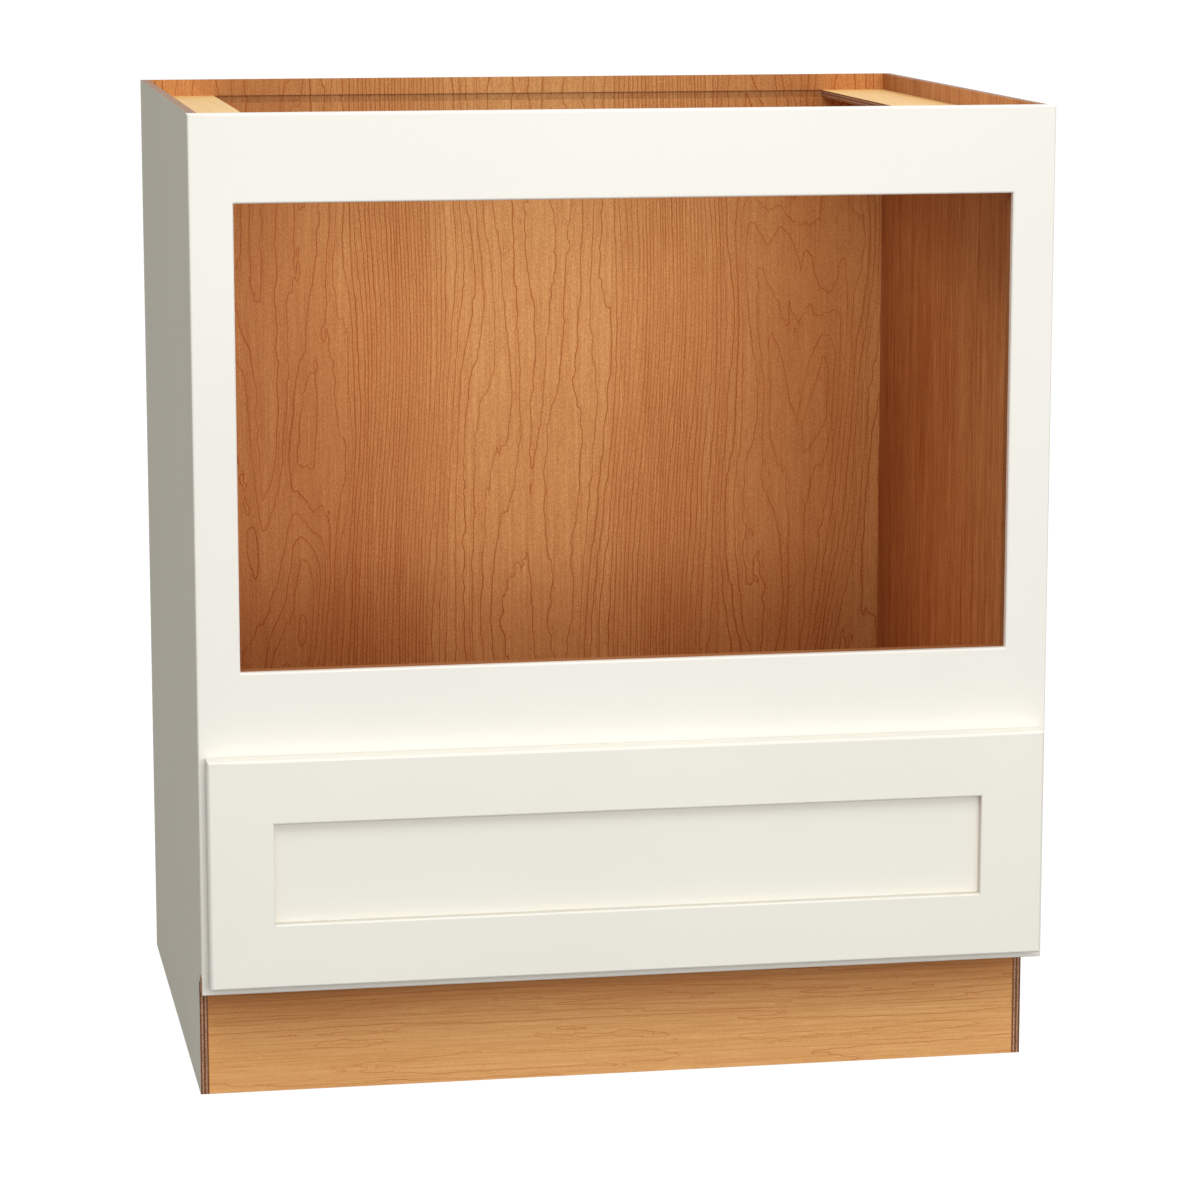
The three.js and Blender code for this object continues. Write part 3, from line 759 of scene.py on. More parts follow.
def painted_material(paint, name="Satin paint", recess_shade=0.0):
    """Paint all over, with painted shade on the sides of the drawer front's recess and less on its
    ledge.
    """
    finish = Finish(name)
    sheet = finish.sheet
    # The drawer front's darker copy of the paint is painted shade.
    out = finish.painted(paint.shaded_front_paint)
    stile_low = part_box("drawer_front_right_stile")[0]
    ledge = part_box("drawer_front_bottom_rail")[1].z
    deep = sheet.above(finish.y, stile_low.y + RECESS_EDGE)
    between_stiles = sheet.below(sheet.math("ABSOLUTE", finish.x), stile_low.x + FACE_REACH)
    over_rail = sheet.above(finish.z, ledge - FACE_REACH)
    under_rail = sheet.below(finish.z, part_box("drawer_front_top_rail")[0].z + FACE_REACH)
    inside = sheet.times(over_rail, under_rail)
    inside = sheet.times(inside, between_stiles)
    inside = sheet.times(inside, deep)
    # Painted shade in the recess: its sides darkened and reddened, its ledge less.
    shade = sheet.ramp(finish.z, ledge + 0.1 * MM, ledge + FACE_REACH, LEDGE_SHARE, 1.0)
    shade = sheet.times(shade, recess_shade)
    colour = painted_shade(sheet, out["Color"], sheet.times(inside, shade))
    roughness = sheet.plus(out["Gloss"], paint.gloss)
    return finish.set(colour, roughness, out["Height"], PAINT_BUMP)


# How rough the unpainted and flat-painted parts of the frame are, and how bright its bare wood.
FLAT_ROUGHNESS = 0.7
BARE_BRIGHTNESS = 0.75
# The outer edges show bare wood at their foot: how high up, and from how far behind the face.
FOOT_HEIGHT = 16 * MM
FOOT_DEPTH = 1.4 * MM
# How far the paint's ragged end inside the openings wanders, and how softly an end fades.
RAGGED_REACH = 0.8 * MM
PAINT_FADE = 0.2 * MM


def frame_material(paint, wood):
    """Paint on the face, outer edges and the front of the openings, and bare wood elsewhere."""
    finish = Finish("Painted hardwood frame", Specular_IOR_Level=0.25)
    sheet = finish.sheet
    out_from_middle = sheet.math("ABSOLUTE", finish.x)
    outer_edge = sheet.above(out_from_middle, -FRAME_LOW.x - FACE_REACH)
    # The outer edges take the sides' darker paint, which is painted shade.
    coat = finish.painted(sheet.mix(outer_edge, paint.colour, paint.shaded_side_paint))
    stile = sheet.above(out_from_middle, RIGHT_STILE_LOW.x)
    level_grain = grain_vector(finish, "upright, grain left to right")
    values = veneer_values(
        wood, Vector=sheet.mix_vectors(stile, level_grain, finish.point), Openness=0.0,
        Wander=3.0, Seed=0.7, Light=wood.deck_light, Dark=wood.deck_dark,
        Line_Strength=0.2, Line_Colour=wood.deck_line,
    )
    bare = place_group(sheet, wood_group(), values)
    ragged = sheet.noise(finish.point, (55, 55, 55), detail=2.0)
    depth = sheet.minus(finish.y, FRAME_LOW.y)
    depth = sheet.times_plus(ragged, RAGGED_REACH, depth)
    deep = sheet.above(depth, paint.painted_depth + RAGGED_REACH / 2, PAINT_FADE)
    top_edge = sheet.above(finish.z, FRAME_HIGH.z - FACE_REACH)
    painted_edge = sheet.larger(outer_edge, top_edge)
    behind = sheet.above(finish.y, FRAME_HIGH.y - FACE_REACH)
    painted_edge = sheet.times(painted_edge, sheet.minus(1.0, behind))
    foot = sheet.below(finish.z, FRAME_LOW.z + FOOT_HEIGHT, 0.3 * MM)
    foot = sheet.times(foot, outer_edge)
    foot = sheet.times(foot, sheet.above(depth, FOOT_DEPTH, PAINT_FADE))
    wood_shows = sheet.times(deep, sheet.minus(1.0, painted_edge))
    wood_shows = sheet.larger(wood_shows, foot)
    bare_colour = sheet.brightened(bare["Color"], BARE_BRIGHTNESS)
    colour = sheet.mix(wood_shows, coat["Color"], bare_colour)
    flat = sheet.larger(outer_edge, wood_shows)
    gloss = sheet.ramp(flat, 0.0, 1.0, paint.gloss, FLAT_ROUGHNESS)
    height = sheet.times_plus(wood_shows, bare["Height"], coat["Height"])
    return finish.set(colour, sheet.plus(gloss, coat["Gloss"]), height, PAINT_BUMP)


WALL_GRAIN_STRETCH = 0.4
# How deep the veneer reaches from a board's face, and how rough its finish is.
VENEER_DEPTH = 0.35 * MM
VENEER_ROUGHNESS = 0.48
WOOD_BUMP = 0.12
# Where the side panels' veneer starts to get painted shade towards the back corner, and how far
# behind the back panel's face it would be darkest.
CORNER_START = -20 * MM
CORNER_END = 30 * MM
# How far below the frame's top the side panels' veneer starts to get painted shade, and where it is
# darkest. Above the top strips it is light again.
UPPER_START = 250 * MM
UPPER_END = 110 * MM
STRIP_FADE = 4 * MM


def side_panel_material(paint, wood):
    """Painted outside, veneered inside, and plies at the cut edges."""
    finish = Finish("Side panel plywood", Specular_IOR_Level=0.12)
    sheet = finish.sheet
    # The outside's darker paint is painted shade.
    coat = finish.painted(paint.shaded_side_paint)
    out_from_middle = sheet.math("ABSOLUTE", finish.x)
    across = sheet.times(finish.y, WALL_GRAIN_STRETCH)
    values = veneer_values(
        wood, Vector=sheet.joined(across, finish.x, finish.z), Openness=0.0, Rings=330.0,
        Wander=10.0, Seed=0.31, Light=wood.wall_light, Dark=wood.wall_dark,
        Line_Strength=0.45, Shade=0.1, Fibre=1.3, Speckle=0.5,
    )
    veneer = place_group(sheet, wood_group(), values)
    # Painted shade on the inside: darker towards the back corner and towards the top, light again
    # above the top strips.
    corner = sheet.ramp(finish.y, CORNER_START, BACK_LOW.y + CORNER_END)
    upper_shade = sheet.ramp(finish.z, FRAME_HIGH.z - UPPER_START, FRAME_HIGH.z - UPPER_END)
    upper_shade = sheet.times(upper_shade, sheet.below(finish.z, STRIP_TOP, STRIP_FADE))
    veneer_colour = painted_shade(sheet, veneer["Color"], sheet.larger(corner, upper_shade))
    depth = sheet.minus(out_from_middle, SIDE_LOW.x)
    edge = finish.cut_plies(wood, sheet.over(depth, SIDE_HIGH.x - SIDE_LOW.x))
    outside = sheet.above(out_from_middle, SIDE_HIGH.x - 0.2 * MM)
    inside = sheet.below(out_from_middle, SIDE_LOW.x + 0.4 * MM)
    colour = sheet.mix(inside, edge, veneer_colour)
    colour = sheet.mix(outside, colour, coat["Color"])
    height = sheet.times(inside, veneer["Height"])
    roughness = sheet.ramp(outside, 0.0, 1.0, 0.5, 0.75)
    roughness = sheet.times_plus(veneer["Gloss"], inside, roughness)
    return finish.set(colour, roughness, height, WOOD_BUMP)


# How far above its start a board's painted shade is complete.
SHADE_HEIGHT = 42 * MM


def board_material(
    name, wood, thickness_axis, low, high, direction, values, plies=5.0, shade_above=None,
    fineness=1.0,
):
    """A plywood board: veneer on both faces, across one axis, plies at the cut edges, and if asked
    painted shade that grows upwards from a height.
    """
    finish = Finish(name, Specular_IOR_Level=0.18)
    sheet = finish.sheet
    place = {"x": finish.x, "y": finish.y, "z": finish.z}[thickness_axis]
    grain = sheet.scaled(grain_vector(finish, direction), (fineness, 1.0, 1.0))
    veneer = place_group(sheet, wood_group(), {"Vector": grain, **values})
    edge = finish.cut_plies(wood, sheet.over(sheet.minus(place, low), high - low), plies)
    low_face = sheet.below(place, low + VENEER_DEPTH)
    face = sheet.larger(low_face, sheet.above(place, high - VENEER_DEPTH))
    veneer_colour = veneer["Color"]
    # Painted shade: the veneer darkens upwards from the given height.
    if shade_above is not None:
        share = sheet.ramp(finish.z, shade_above, shade_above + SHADE_HEIGHT)
        veneer_colour = painted_shade(sheet, veneer_colour, share)
    colour = sheet.mix(face, edge, veneer_colour)
    height = sheet.times(face, veneer["Height"])
    roughness = sheet.times_plus(veneer["Gloss"], face, VENEER_ROUGHNESS)
    return finish.set(colour, roughness, height, WOOD_BUMP)


# How deep the groove for the top strips is, and how bright its floor is made as painted shade.
STRIP_GROOVE_DEPTH = 2 * MM
STRIP_GROOVE_BRIGHTNESS = 0.8
# The back panel's veneer gets painted shade down to the deck over this height, by this share at
# most.
LOWER_HEIGHT = 210 * MM
LOWER_SHARE = 0.85
# It also gets a little painted shade near its top, between these distances below the frame's top.
BACK_UPPER_START = 150 * MM
BACK_UPPER_END = 70 * MM
BACK_UPPER_SHARE = 0.2


def back_panel_material(wood):
    """Veneered front with its groove, a plainer rear face, and plies at the cut edges."""
    finish = Finish("Back panel plywood", Specular_IOR_Level=0.18)
    sheet = finish.sheet
    veneer = place_group(sheet, wood_group(), veneer_values(wood, Vector=finish.point))
    plain = place_group(
        sheet, wood_group(),
        veneer_values(
            wood, Vector=finish.point, Light=wood.rear_light, Dark=wood.rear_dark, Seed=1.9,
            Wander=9.0, Line_Strength=0.35, Line_Colour=wood.rear_line,
        ),
    )
    depth = sheet.minus(finish.y, BACK_LOW.y)
    share = sheet.over(depth, BACK_HIGH.y - BACK_LOW.y)
    edge = finish.cut_plies(wood, share, 3.0)
    groove_floor = sheet.math("COMPARE", depth, STRIP_GROOVE_DEPTH, 0.03 * MM)
    front = sheet.larger(sheet.below(depth, VENEER_DEPTH), groove_floor)
    rear = sheet.above(share, 0.93, 0.01)
    # The groove's floor is the front veneer made darker: painted shade.
    groove_shade = sheet.ramp(groove_floor, 0.0, 1.0, 1.0, STRIP_GROOVE_BRIGHTNESS)
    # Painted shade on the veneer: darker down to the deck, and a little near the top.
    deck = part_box("microwave_deck")[1].z
    lower_shade = sheet.ramp(finish.z, deck, deck + LOWER_HEIGHT, LOWER_SHARE, 0.0)
    upper_shade = sheet.ramp(
        finish.z, FRAME_HIGH.z - BACK_UPPER_START, FRAME_HIGH.z - BACK_UPPER_END,
        0.0, BACK_UPPER_SHARE,
    )
    veneer_colour = painted_shade(sheet, veneer["Color"], sheet.larger(lower_shade, upper_shade))
    colour = sheet.mix(front, edge, sheet.brightened(veneer_colour, groove_shade))
    colour = sheet.mix(rear, colour, plain["Color"])
    height = sheet.times(front, veneer["Height"])
    height = sheet.times_plus(rear, plain["Height"], height)
    roughness = sheet.times_plus(veneer["Gloss"], front, VENEER_ROUGHNESS)
    return finish.set(colour, roughness, height, WOOD_BUMP)


def solid_wood_material(name, direction, values):
    """Solid wood with one grain direction."""
    finish = Finish(name)
    inputs = {"Vector": grain_vector(finish, direction), **values}
    out = place_group(finish.sheet, wood_group(), inputs)
    rough = finish.sheet.plus(out["Gloss"], 0.5)
    return finish.set(out["Color"], rough, out["Height"], WOOD_BUMP)


def end_grain_material(wood):
    """Sawn end grain of the drawer boards."""
    finish = Finish("Drawer maple, end grain")
    sheet = finish.sheet
    pores = sheet.noise(finish.point, (1300, 1300, 1300), detail=2.0)
    bands = sheet.noise(finish.point, (60, 60, 420), detail=2.0)
    shade = sheet.ramp(pores, 0.3, 0.7, 0.62, 1.05)
    shade = sheet.times(shade, sheet.ramp(bands, 0.3, 0.7, 0.85, 1.05))
    colour = sheet.brightened(wood.drawer_end, shade)
    return finish.set(colour, sheet.times_plus(pores, 0.1, 0.55), pores, 0.15)


def even_material(name, group, socket_name, colour, roughness, bump_strength, **constants):
    """One finish all over, from a group that is given one colour."""
    finish = Finish(name, **constants)
    out = place_group(finish.sheet, group, {"Vector": finish.point, socket_name: colour})
    rough = finish.sheet.plus(out["Gloss"], roughness)
    return finish.set(out["Color"], rough, out["Height"], bump_strength, 0.05 * MM)


def metal_material(name, colour, roughness):
    return even_material(name, streaked_group(), "Metal", colour, roughness, 0.08, Metallic=1.0)


def plastic_material(name, colour, roughness):
    return even_material(name, moulded_group(), "Plastic", colour, roughness, 0.15)


# Shapes.


# Faces that turn less than this are one flat face, edges that turn more than the others get an
# arris, or are drawn sharp.
FLAT_ANGLE = math.radians(0.5)
ARRIS_ANGLE = math.radians(30)
SHARP_ANGLE = math.radians(35)
# How near two corners count as one, and how far along an axis a face's normal has to point.
WELD_REACH = 0.001 * MM
FACING = 0.9


def dress(node_name, material, arris=None):
    """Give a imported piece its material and, with an arris, broken edges. Its mesh stays."""
    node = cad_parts[node_name]
    node.data.materials.clear()
    node.data.materials.append(material)
    if arris is None:
        return
    node.modifiers.new("Weld", "WELD").merge_threshold = WELD_REACH
    flat = node.modifiers.new("Flat faces", "DECIMATE")
    flat.decimate_type = "DISSOLVE"
    flat.angle_limit = FLAT_ANGLE
    broken = node.modifiers.new("Arris", "BEVEL")
    broken.width = arris
    broken.segments = 2
    broken.limit_method = "ANGLE"
    broken.angle_limit = ARRIS_ANGLE


def merged_copy(node_name):
    """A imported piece's mesh, with its triangles joined and its flat faces whole."""
    bm = bmesh.new()
    bm.from_mesh(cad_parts[node_name].data)
    bmesh.ops.remove_doubles(bm, verts=bm.verts, dist=WELD_REACH)
    bmesh.ops.dissolve_limit(bm, angle_limit=FLAT_ANGLE, verts=bm.verts, edges=bm.edges)
    bm.normal_update()
    return bm


def bevel(bm, edges, width, segments):
    """Round edges over."""
    bmesh.ops.bevel(
        bm,
        geom=edges,
        offset=width,
        offset_type="OFFSET",
        segments=segments,
        profile=0.5,
        affect="EDGES",
        clamp_overlap=True,
        material=-1,
    )


def finished_piece(name, bm, materials, node_names, body):
    """A new piece from a bmesh, riding on a body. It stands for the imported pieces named."""
    mesh = bpy.data.meshes.new(name)
    for face in bm.faces:
        face.smooth = True
    bm.to_mesh(mesh)
    bm.free()
    mesh.set_sharp_from_angle(angle=SHARP_ANGLE)
    for material in materials:
        mesh.materials.append(material)
    piece = bpy.data.objects.new(name, mesh)
    bpy.context.scene.collection.objects.link(piece)
    weighted = piece.modifiers.new("Flat face shading", "WEIGHTED_NORMAL")
    weighted.keep_sharp = True
    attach(piece, body)
    if node_names:
        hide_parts(*node_names)


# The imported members' chamfers turn by this many degrees, and nothing else on them nearly does.
CHAMFER_TURN = 45
CHAMFER_SLACK = 3


def eased_piece(node_name, material, width, body):
    """A packed member with its chamfers rounded over."""
    bm = merged_copy(node_name)
    chamfers = [
        edge
        for edge in bm.edges
        if len(edge.link_faces) == 2
        and abs(math.degrees(edge.calc_face_angle()) - CHAMFER_TURN) < CHAMFER_SLACK
    ]
    bevel(bm, chamfers, width, 3)
    finished_piece(f"{node_name}_eased", bm, (material,), (node_name,), body)


def cut_faces(bm, wanted, planes):
    """Cut the wanted faces along planes, each a point and a normal, and give the faces left."""
    for point, normal in planes:
        faces = [face for face in bm.faces if wanted(face)]
        parts = [part for face in faces for part in (*face.edges, *face.verts)]
        bmesh.ops.bisect_plane(
            bm, geom=[*faces, *dict.fromkeys(parts)], plane_co=point, plane_no=normal, dist=1e-7
        )
    return [face for face in bm.faces if wanted(face)]


def spun_rings(bm, profile, steps):
    """Spin a profile of (radius, height) points once around Z, and give its first ring's edges."""
    corners = [bm.verts.new((radius, 0, height)) for radius, height in profile]
    lines = [bm.edges.new(pair) for pair in zip(corners, corners[1:])]
    bmesh.ops.spin(
        bm, geom=[*corners, *lines], cent=(0, 0, 0), axis=(0, 0, 1),
        angle=TAU, steps=steps, use_merge=True,
    )
    radius, height = profile[0]
    return [
        edge
        for edge in bm.edges
        if all(
            abs(corner.co.z - height) < 1e-7 and abs(corner.co.xy.length - radius) < 1e-7
            for corner in edge.verts
        )
    ]


def turned_piece(bm, place, direction):
    """Move a shape made around Z so that it stands at a place and looks in a direction."""
    turn = Vector(direction).to_track_quat("Z", "Y").to_matrix().to_4x4()
    bmesh.ops.transform(bm, matrix=Matrix.Translation(place) @ turn, verts=bm.verts)


# Drawer joints and fittings.

TAIL_PITCH = 25.4 * MM
TAIL_SLOPE = 1 / 7
# Half a pin's width at the side's end, and how near the middle between two tails a face counts as
# a pin's.
PIN_HALF_WIDTH = 2.6 * MM
PIN_REACH = 5 * MM
DRAWER_ROUND = 2 * MM
# No edge of a cross board but its long ones is as long as this.
LONG_EDGE = 100 * MM


def round_top(bm, top, axis, shortest):
    """Round the edges along one axis at the top of a drawer board, if they are long enough."""
    edges = [
        edge
        for edge in bm.edges
        if all(abs(corner.co.z - top) < 1e-6 for corner in edge.verts)
        and abs(edge.verts[0].co[axis] - edge.verts[1].co[axis]) > shortest
    ]
    bevel(bm, edges, DRAWER_ROUND, 4)


def dovetail_cuts(end_y, into, low_z, high_z):
    """The planes and the middles of the tails at one end of a drawer side."""
    count = round((high_z - low_z) / TAIL_PITCH)
    pitch = (high_z - low_z) / count
    middles = [low_z + pitch * (number + 0.5) for number in range(count)]
    planes = []
    for middle in middles:
        for way in (-1, 1):
            point = (0, end_y, middle + way * (pitch / 2 - PIN_HALF_WIDTH))
            planes.append((point, (0, way * TAIL_SLOPE * into, 1)))
    return planes, middles, pitch


def dovetailed_side(side, materials):
    """A drawer side with a rounded top, and the pins of the front and back boards in its ends."""
    name = f"drawer_{side}_side"
    low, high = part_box(name)
    board = BOX_FRONT_HIGH.y - BOX_FRONT_LOW.y
    outer_x = high.x if side == "right" else low.x
    bm = merged_copy(name)
    round_top(bm, high.z, Y, board)
    ends = ((low.y, 1, low.z), (high.y, -1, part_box("drawer_back")[0].z))
    for end_y, into, low_z in ends:
        shoulder = end_y + into * board
        cut_faces(bm, lambda face: True, [((0, shoulder, 0), (0, 1, 0))])
        cut_faces(bm, lambda face: abs(face.normal.x) > FACING, [((0, 0, low_z), (0, 0, 1))])

        def in_joint(face):
            middle = face.calc_center_median()
            return (
                abs(middle.y - end_y) < board and middle.z > low_z
                and abs(middle.x - outer_x) < 1e-5 and abs(face.normal.x) > FACING
            )

        planes, middles, pitch = dovetail_cuts(end_y, into, low_z, high.z)
        for face in cut_faces(bm, in_joint, planes):
            place = face.calc_center_median().z
            if min(abs(place - middle) for middle in middles) > pitch / 2 - PIN_REACH:
                face.material_index = 1
        for face in bm.faces:
            middle = face.calc_center_median()
            if abs(middle.y - end_y) < board and face.normal.z > 0.2:
                face.material_index = 2
    for face in bm.faces:
        if abs(face.normal.y) > FACING:
            face.material_index = 1
    finished_piece(f"{name}_dovetailed", bm, materials, (name,), "drawer")


def rounded_board(name, material):
    """A drawer board with its top edges rounded like the sides'."""
    bm = merged_copy(name)
    round_top(bm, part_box(name)[1].z, X, LONG_EDGE)
    finished_piece(f"{name}_rounded", bm, (material,), (name,), "drawer")


SCREW_STEPS = 24
# A pan head from its flat top out to its rim and in to the shank, as radius and height in mm.
PAN_HEAD = ((2.7, 2.15), (3.4, 1.95), (3.95, 1.55), (4.3, 1.0), (4.45, 0.45), (4.45, 0), (2, 0))


def cross_recess(bm, rim, height):
    """Close a round rim with a tapered cross-shaped recess."""
    arm, half_width, depth, taper = 2.1 * MM, 0.45 * MM, 1.2 * MM, 0.6
    corners = []
    for quarter in range(4):
        turn = Matrix.Rotation(quarter * TAU / 4, 3, "Z")
        for x, y in ((arm, -half_width), (arm, half_width), (half_width, half_width)):
            corners.append(bm.verts.new(turn @ Vector((x, y, height))))
    cross = [bm.edges.new((a, b)) for a, b in zip(corners, corners[1:] + corners[:1])]
    split = bmesh.ops.subdivide_edges(bm, edges=cross, cuts=1)["geom_split"]
    cross += [part for part in split if isinstance(part, bmesh.types.BMEdge)]
    cross = [edge for edge in dict.fromkeys(cross) if edge.is_valid]
    bmesh.ops.bridge_loops(bm, edges=[*rim, *cross])
    walls = bmesh.ops.extrude_edge_only(bm, edges=cross)["geom"]
    deep = [part for part in walls if isinstance(part, bmesh.types.BMVert)]
    bmesh.ops.scale(bm, vec=(taper, taper, 1), verts=deep)
    bmesh.ops.translate(bm, vec=(0, 0, -depth), verts=deep)
    floor = [part for part in walls if isinstance(part, bmesh.types.BMEdge)]
    floor = [edge for edge in floor if all(corner in deep for corner in edge.verts)]
    bmesh.ops.edgeloop_fill(bm, edges=floor)


def pan_screw(name, material, place, direction, length, body, replaced=()):
    """A pan-head screw whose head lies on a place and looks in a direction."""
    bm = bmesh.new()
    profile = (*PAN_HEAD, (2, 2 - length), (0.4, -length))
    profile = [(radius * MM, height * MM) for radius, height in profile]
    rim = spun_rings(bm, profile, SCREW_STEPS)
    cross_recess(bm, rim, profile[0][1])
    tip = [
        edge
        for edge in bm.edges
        if edge.is_boundary and all(corner.co.z < -1 * MM for corner in edge.verts)
    ]
    bmesh.ops.edgeloop_fill(bm, edges=tip)
    bmesh.ops.recalc_face_normals(bm, faces=bm.faces)
    turned_piece(bm, place, direction)
    finished_piece(name, bm, (material,), replaced, body)


BUMPER_STEPS = 32
# A bumper's dome from its flat top to its base, as shares of its radius and height.
DOME = ((0.25, 1.0), (0.5, 0.94), (0.74, 0.78), (0.9, 0.52), (0.98, 0.24), (1.0, 0.0))


def domed_bumper(side, material):
    """A pale bumper with a flat dome, stuck to the back of the drawer front."""
    name = f"bumper_{side}"
    low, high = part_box(name)
    radius = (high.x - low.x) / 2
    height = high.y - low.y
    bm = bmesh.new()
    dome = [(radius * across, height * up) for across, up in DOME]
    rim = spun_rings(bm, dome, BUMPER_STEPS)
    bmesh.ops.edgeloop_fill(bm, edges=rim)
    base = [edge for edge in bm.edges if edge.is_boundary]
    bmesh.ops.edgeloop_fill(bm, edges=base)
    bmesh.ops.recalc_face_normals(bm, faces=bm.faces)
    middle = (low + high) / 2
    turned_piece(bm, (middle.x, low.y, middle.z), (0, 1, 0))
    finished_piece(f"{name}_domed", bm, (material,), (name,), "drawer")


LEVER_ROUND = 0.8 * MM
# The grooves under a lever's pad, in mm: how far from its edges, how far apart, how wide, how much
# narrower at their floor on each side, and how deep.
PAD_MARGIN = 1.6
PAD_GROOVE_PITCH = 1.9
PAD_GROOVE_WIDTH = 1.0
PAD_GROOVE_TAPER = 0.12
PAD_GROOVE_DEPTH = 0.5
PAD_GROOVES = 4


def ridged_lever(side, material):
    """A release lever with thumb grooves under its pad."""
    name = f"release_lever_{side}"
    low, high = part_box(name)
    middle_x = (low.x + high.x) / 2
    bm = merged_copy(name)
    outer = [edge for edge in bm.edges if abs(edge.verts[0].co.z - edge.verts[1].co.z) > 3 * MM]
    bevel(bm, [edge for edge in outer if edge.calc_face_angle(0) > ARRIS_ANGLE], LEVER_ROUND, 3)

    def underside(face):
        return face.normal.z < -FACING and face.calc_center_median().z < low.z + 0.1 * MM

    width = PAD_GROOVE_WIDTH * MM
    edge_x = (high.x - low.x) / 2 - PAD_MARGIN * MM
    grooves = [
        low.y + (PAD_MARGIN + PAD_GROOVE_PITCH * number) * MM for number in range(PAD_GROOVES)
    ]
    planes = [((middle_x - edge_x, 0, 0), (1, 0, 0)), ((middle_x + edge_x, 0, 0), (1, 0, 0))]
    for groove in grooves:
        planes += [((0, groove, 0), (0, 1, 0)), ((0, groove + width, 0), (0, 1, 0))]
    cut = [
        face
        for face in cut_faces(bm, underside, planes)
        if abs(face.calc_center_median().x - middle_x) < edge_x
        and any(0 < face.calc_center_median().y - groove < width for groove in grooves)
    ]
    bmesh.ops.inset_individual(
        bm, faces=cut, thickness=PAD_GROOVE_TAPER * MM, depth=-PAD_GROOVE_DEPTH * MM
    )
    finished_piece(f"{name}_ridged", bm, (material,), (name,), f"lever_{side}")


# Operators.


LIGHT_AIM = Vector((0, 0, 0.5))
# Each softbox's name, the setting of its power, its place, and its width and height.
SOFTBOXES = (
    ("front_softbox", "front_power", (0.5, -3.6, 0.95), (1.8, 1.2)),
    ("high_softbox", "high_power", (-0.4, -2.4, 2.8), (2.0, 1.6)),
    ("top_softbox", "top_power", (1.0, 0.1, 2.6), (1.2, 1.2)),
)
FLOOR_REACH = 60
FLOOR_GLOW = 0.92
SENSOR_WIDTH = 36
VIEW_REACH = 200


def hang_softbox(name, power, place, size):
    """A rectangular soft light that looks at the cabinet."""
    lamp = bpy.data.lights.new(name, "AREA")
    lamp.shape = "RECTANGLE"
    lamp.size, lamp.size_y = size
    lamp.energy = power
    softbox = bpy.data.objects.new(name, lamp)
    softbox.location = place
    softbox.rotation_euler = (LIGHT_AIM - Vector(place)).to_track_quat("-Z", "Y").to_euler()
    bpy.context.scene.collection.objects.link(softbox)


class CABINET_OT_stage(bpy.types.Operator):
    """Lay the floor and set the lights and the camera"""

    bl_idname = "cabinet.stage"
    bl_label = "Floor, lights and camera"

    def execute(self, context):
        stage = context.scene.cabinet_stage
        self.lay_floor(stage)
        self.light_room(context, stage)
        for name, power, place, size in SOFTBOXES:
            hang_softbox(name, getattr(stage, power), place, size)
        self.set_camera(context, stage)
        context.scene.view_settings.view_transform = "Standard"
        return {"FINISHED"}

    def lay_floor(self, stage):
        bm = bmesh.new()
        bmesh.ops.create_grid(bm, x_segments=1, y_segments=1, size=FLOOR_REACH)
        mesh = bpy.data.meshes.new("floor")
        bm.to_mesh(mesh)
        bm.free()
        floor = bpy.data.objects.new("floor", mesh)
        bpy.context.scene.collection.objects.link(floor)
        material = bpy.data.materials.new("Pale floor")
        material.use_nodes = True
        tree = material.node_tree
        tree.nodes.clear()
        sheet = NodeSheet(tree)
        matte = sheet.add("ShaderNodeBsdfDiffuse", {"Color": stage.floor_colour})
        glow = sheet.add("ShaderNodeEmission", {"Strength": sheet.times(sheet.seen(), FLOOR_GLOW)})
        both = sheet.add("ShaderNodeAddShader", {0: matte.outputs[0], 1: glow.outputs[0]})
        output = sheet.add("ShaderNodeOutputMaterial")
        tree.links.new(both.outputs[0], output.inputs["Surface"])
        mesh.materials.append(material)

    def light_room(self, context, stage):
        world = bpy.data.worlds.new("Even room light")
        world.use_nodes = True
        tree = world.node_tree
        tree.nodes.clear()
        sheet = NodeSheet(tree)
        strength = sheet.ramp(sheet.seen(), 0.0, 1.0, stage.room_light, 1.0)
        background = sheet.add("ShaderNodeBackground", {"Strength": strength})
        sheet.feed(background.inputs["Color"], (1.0, 1.0, 1.0))
        output = sheet.add("ShaderNodeOutputWorld")
        tree.links.new(background.outputs[0], output.inputs["Surface"])
        context.scene.world = world

    def set_camera(self, context, stage):
        lens = bpy.data.cameras.new("camera")
        lens.lens = stage.lens
        lens.sensor_width = SENSOR_WIDTH
        lens.clip_end = VIEW_REACH
        camera = bpy.data.objects.new("camera", lens)
        camera.location = stage.camera_place
        camera.rotation_euler = (math.pi / 2 - stage.camera_tilt, 0, -stage.camera_pan)
        context.scene.collection.objects.link(camera)
        context.scene.camera = camera


class CABINET_OT_face_frame(bpy.types.Operator):
    """Round over the face frame and paint it"""

    bl_idname = "cabinet.face_frame"
    bl_label = "Face frame"

    def execute(self, context):
        scene = context.scene
        material = frame_material(scene.cabinet_paint, scene.cabinet_wood)
        for name in FRAME_MEMBERS:
            width = scene.cabinet_paint.frame_easing
            eased_piece(name, material, width, "cabinet")
        return {"FINISHED"}


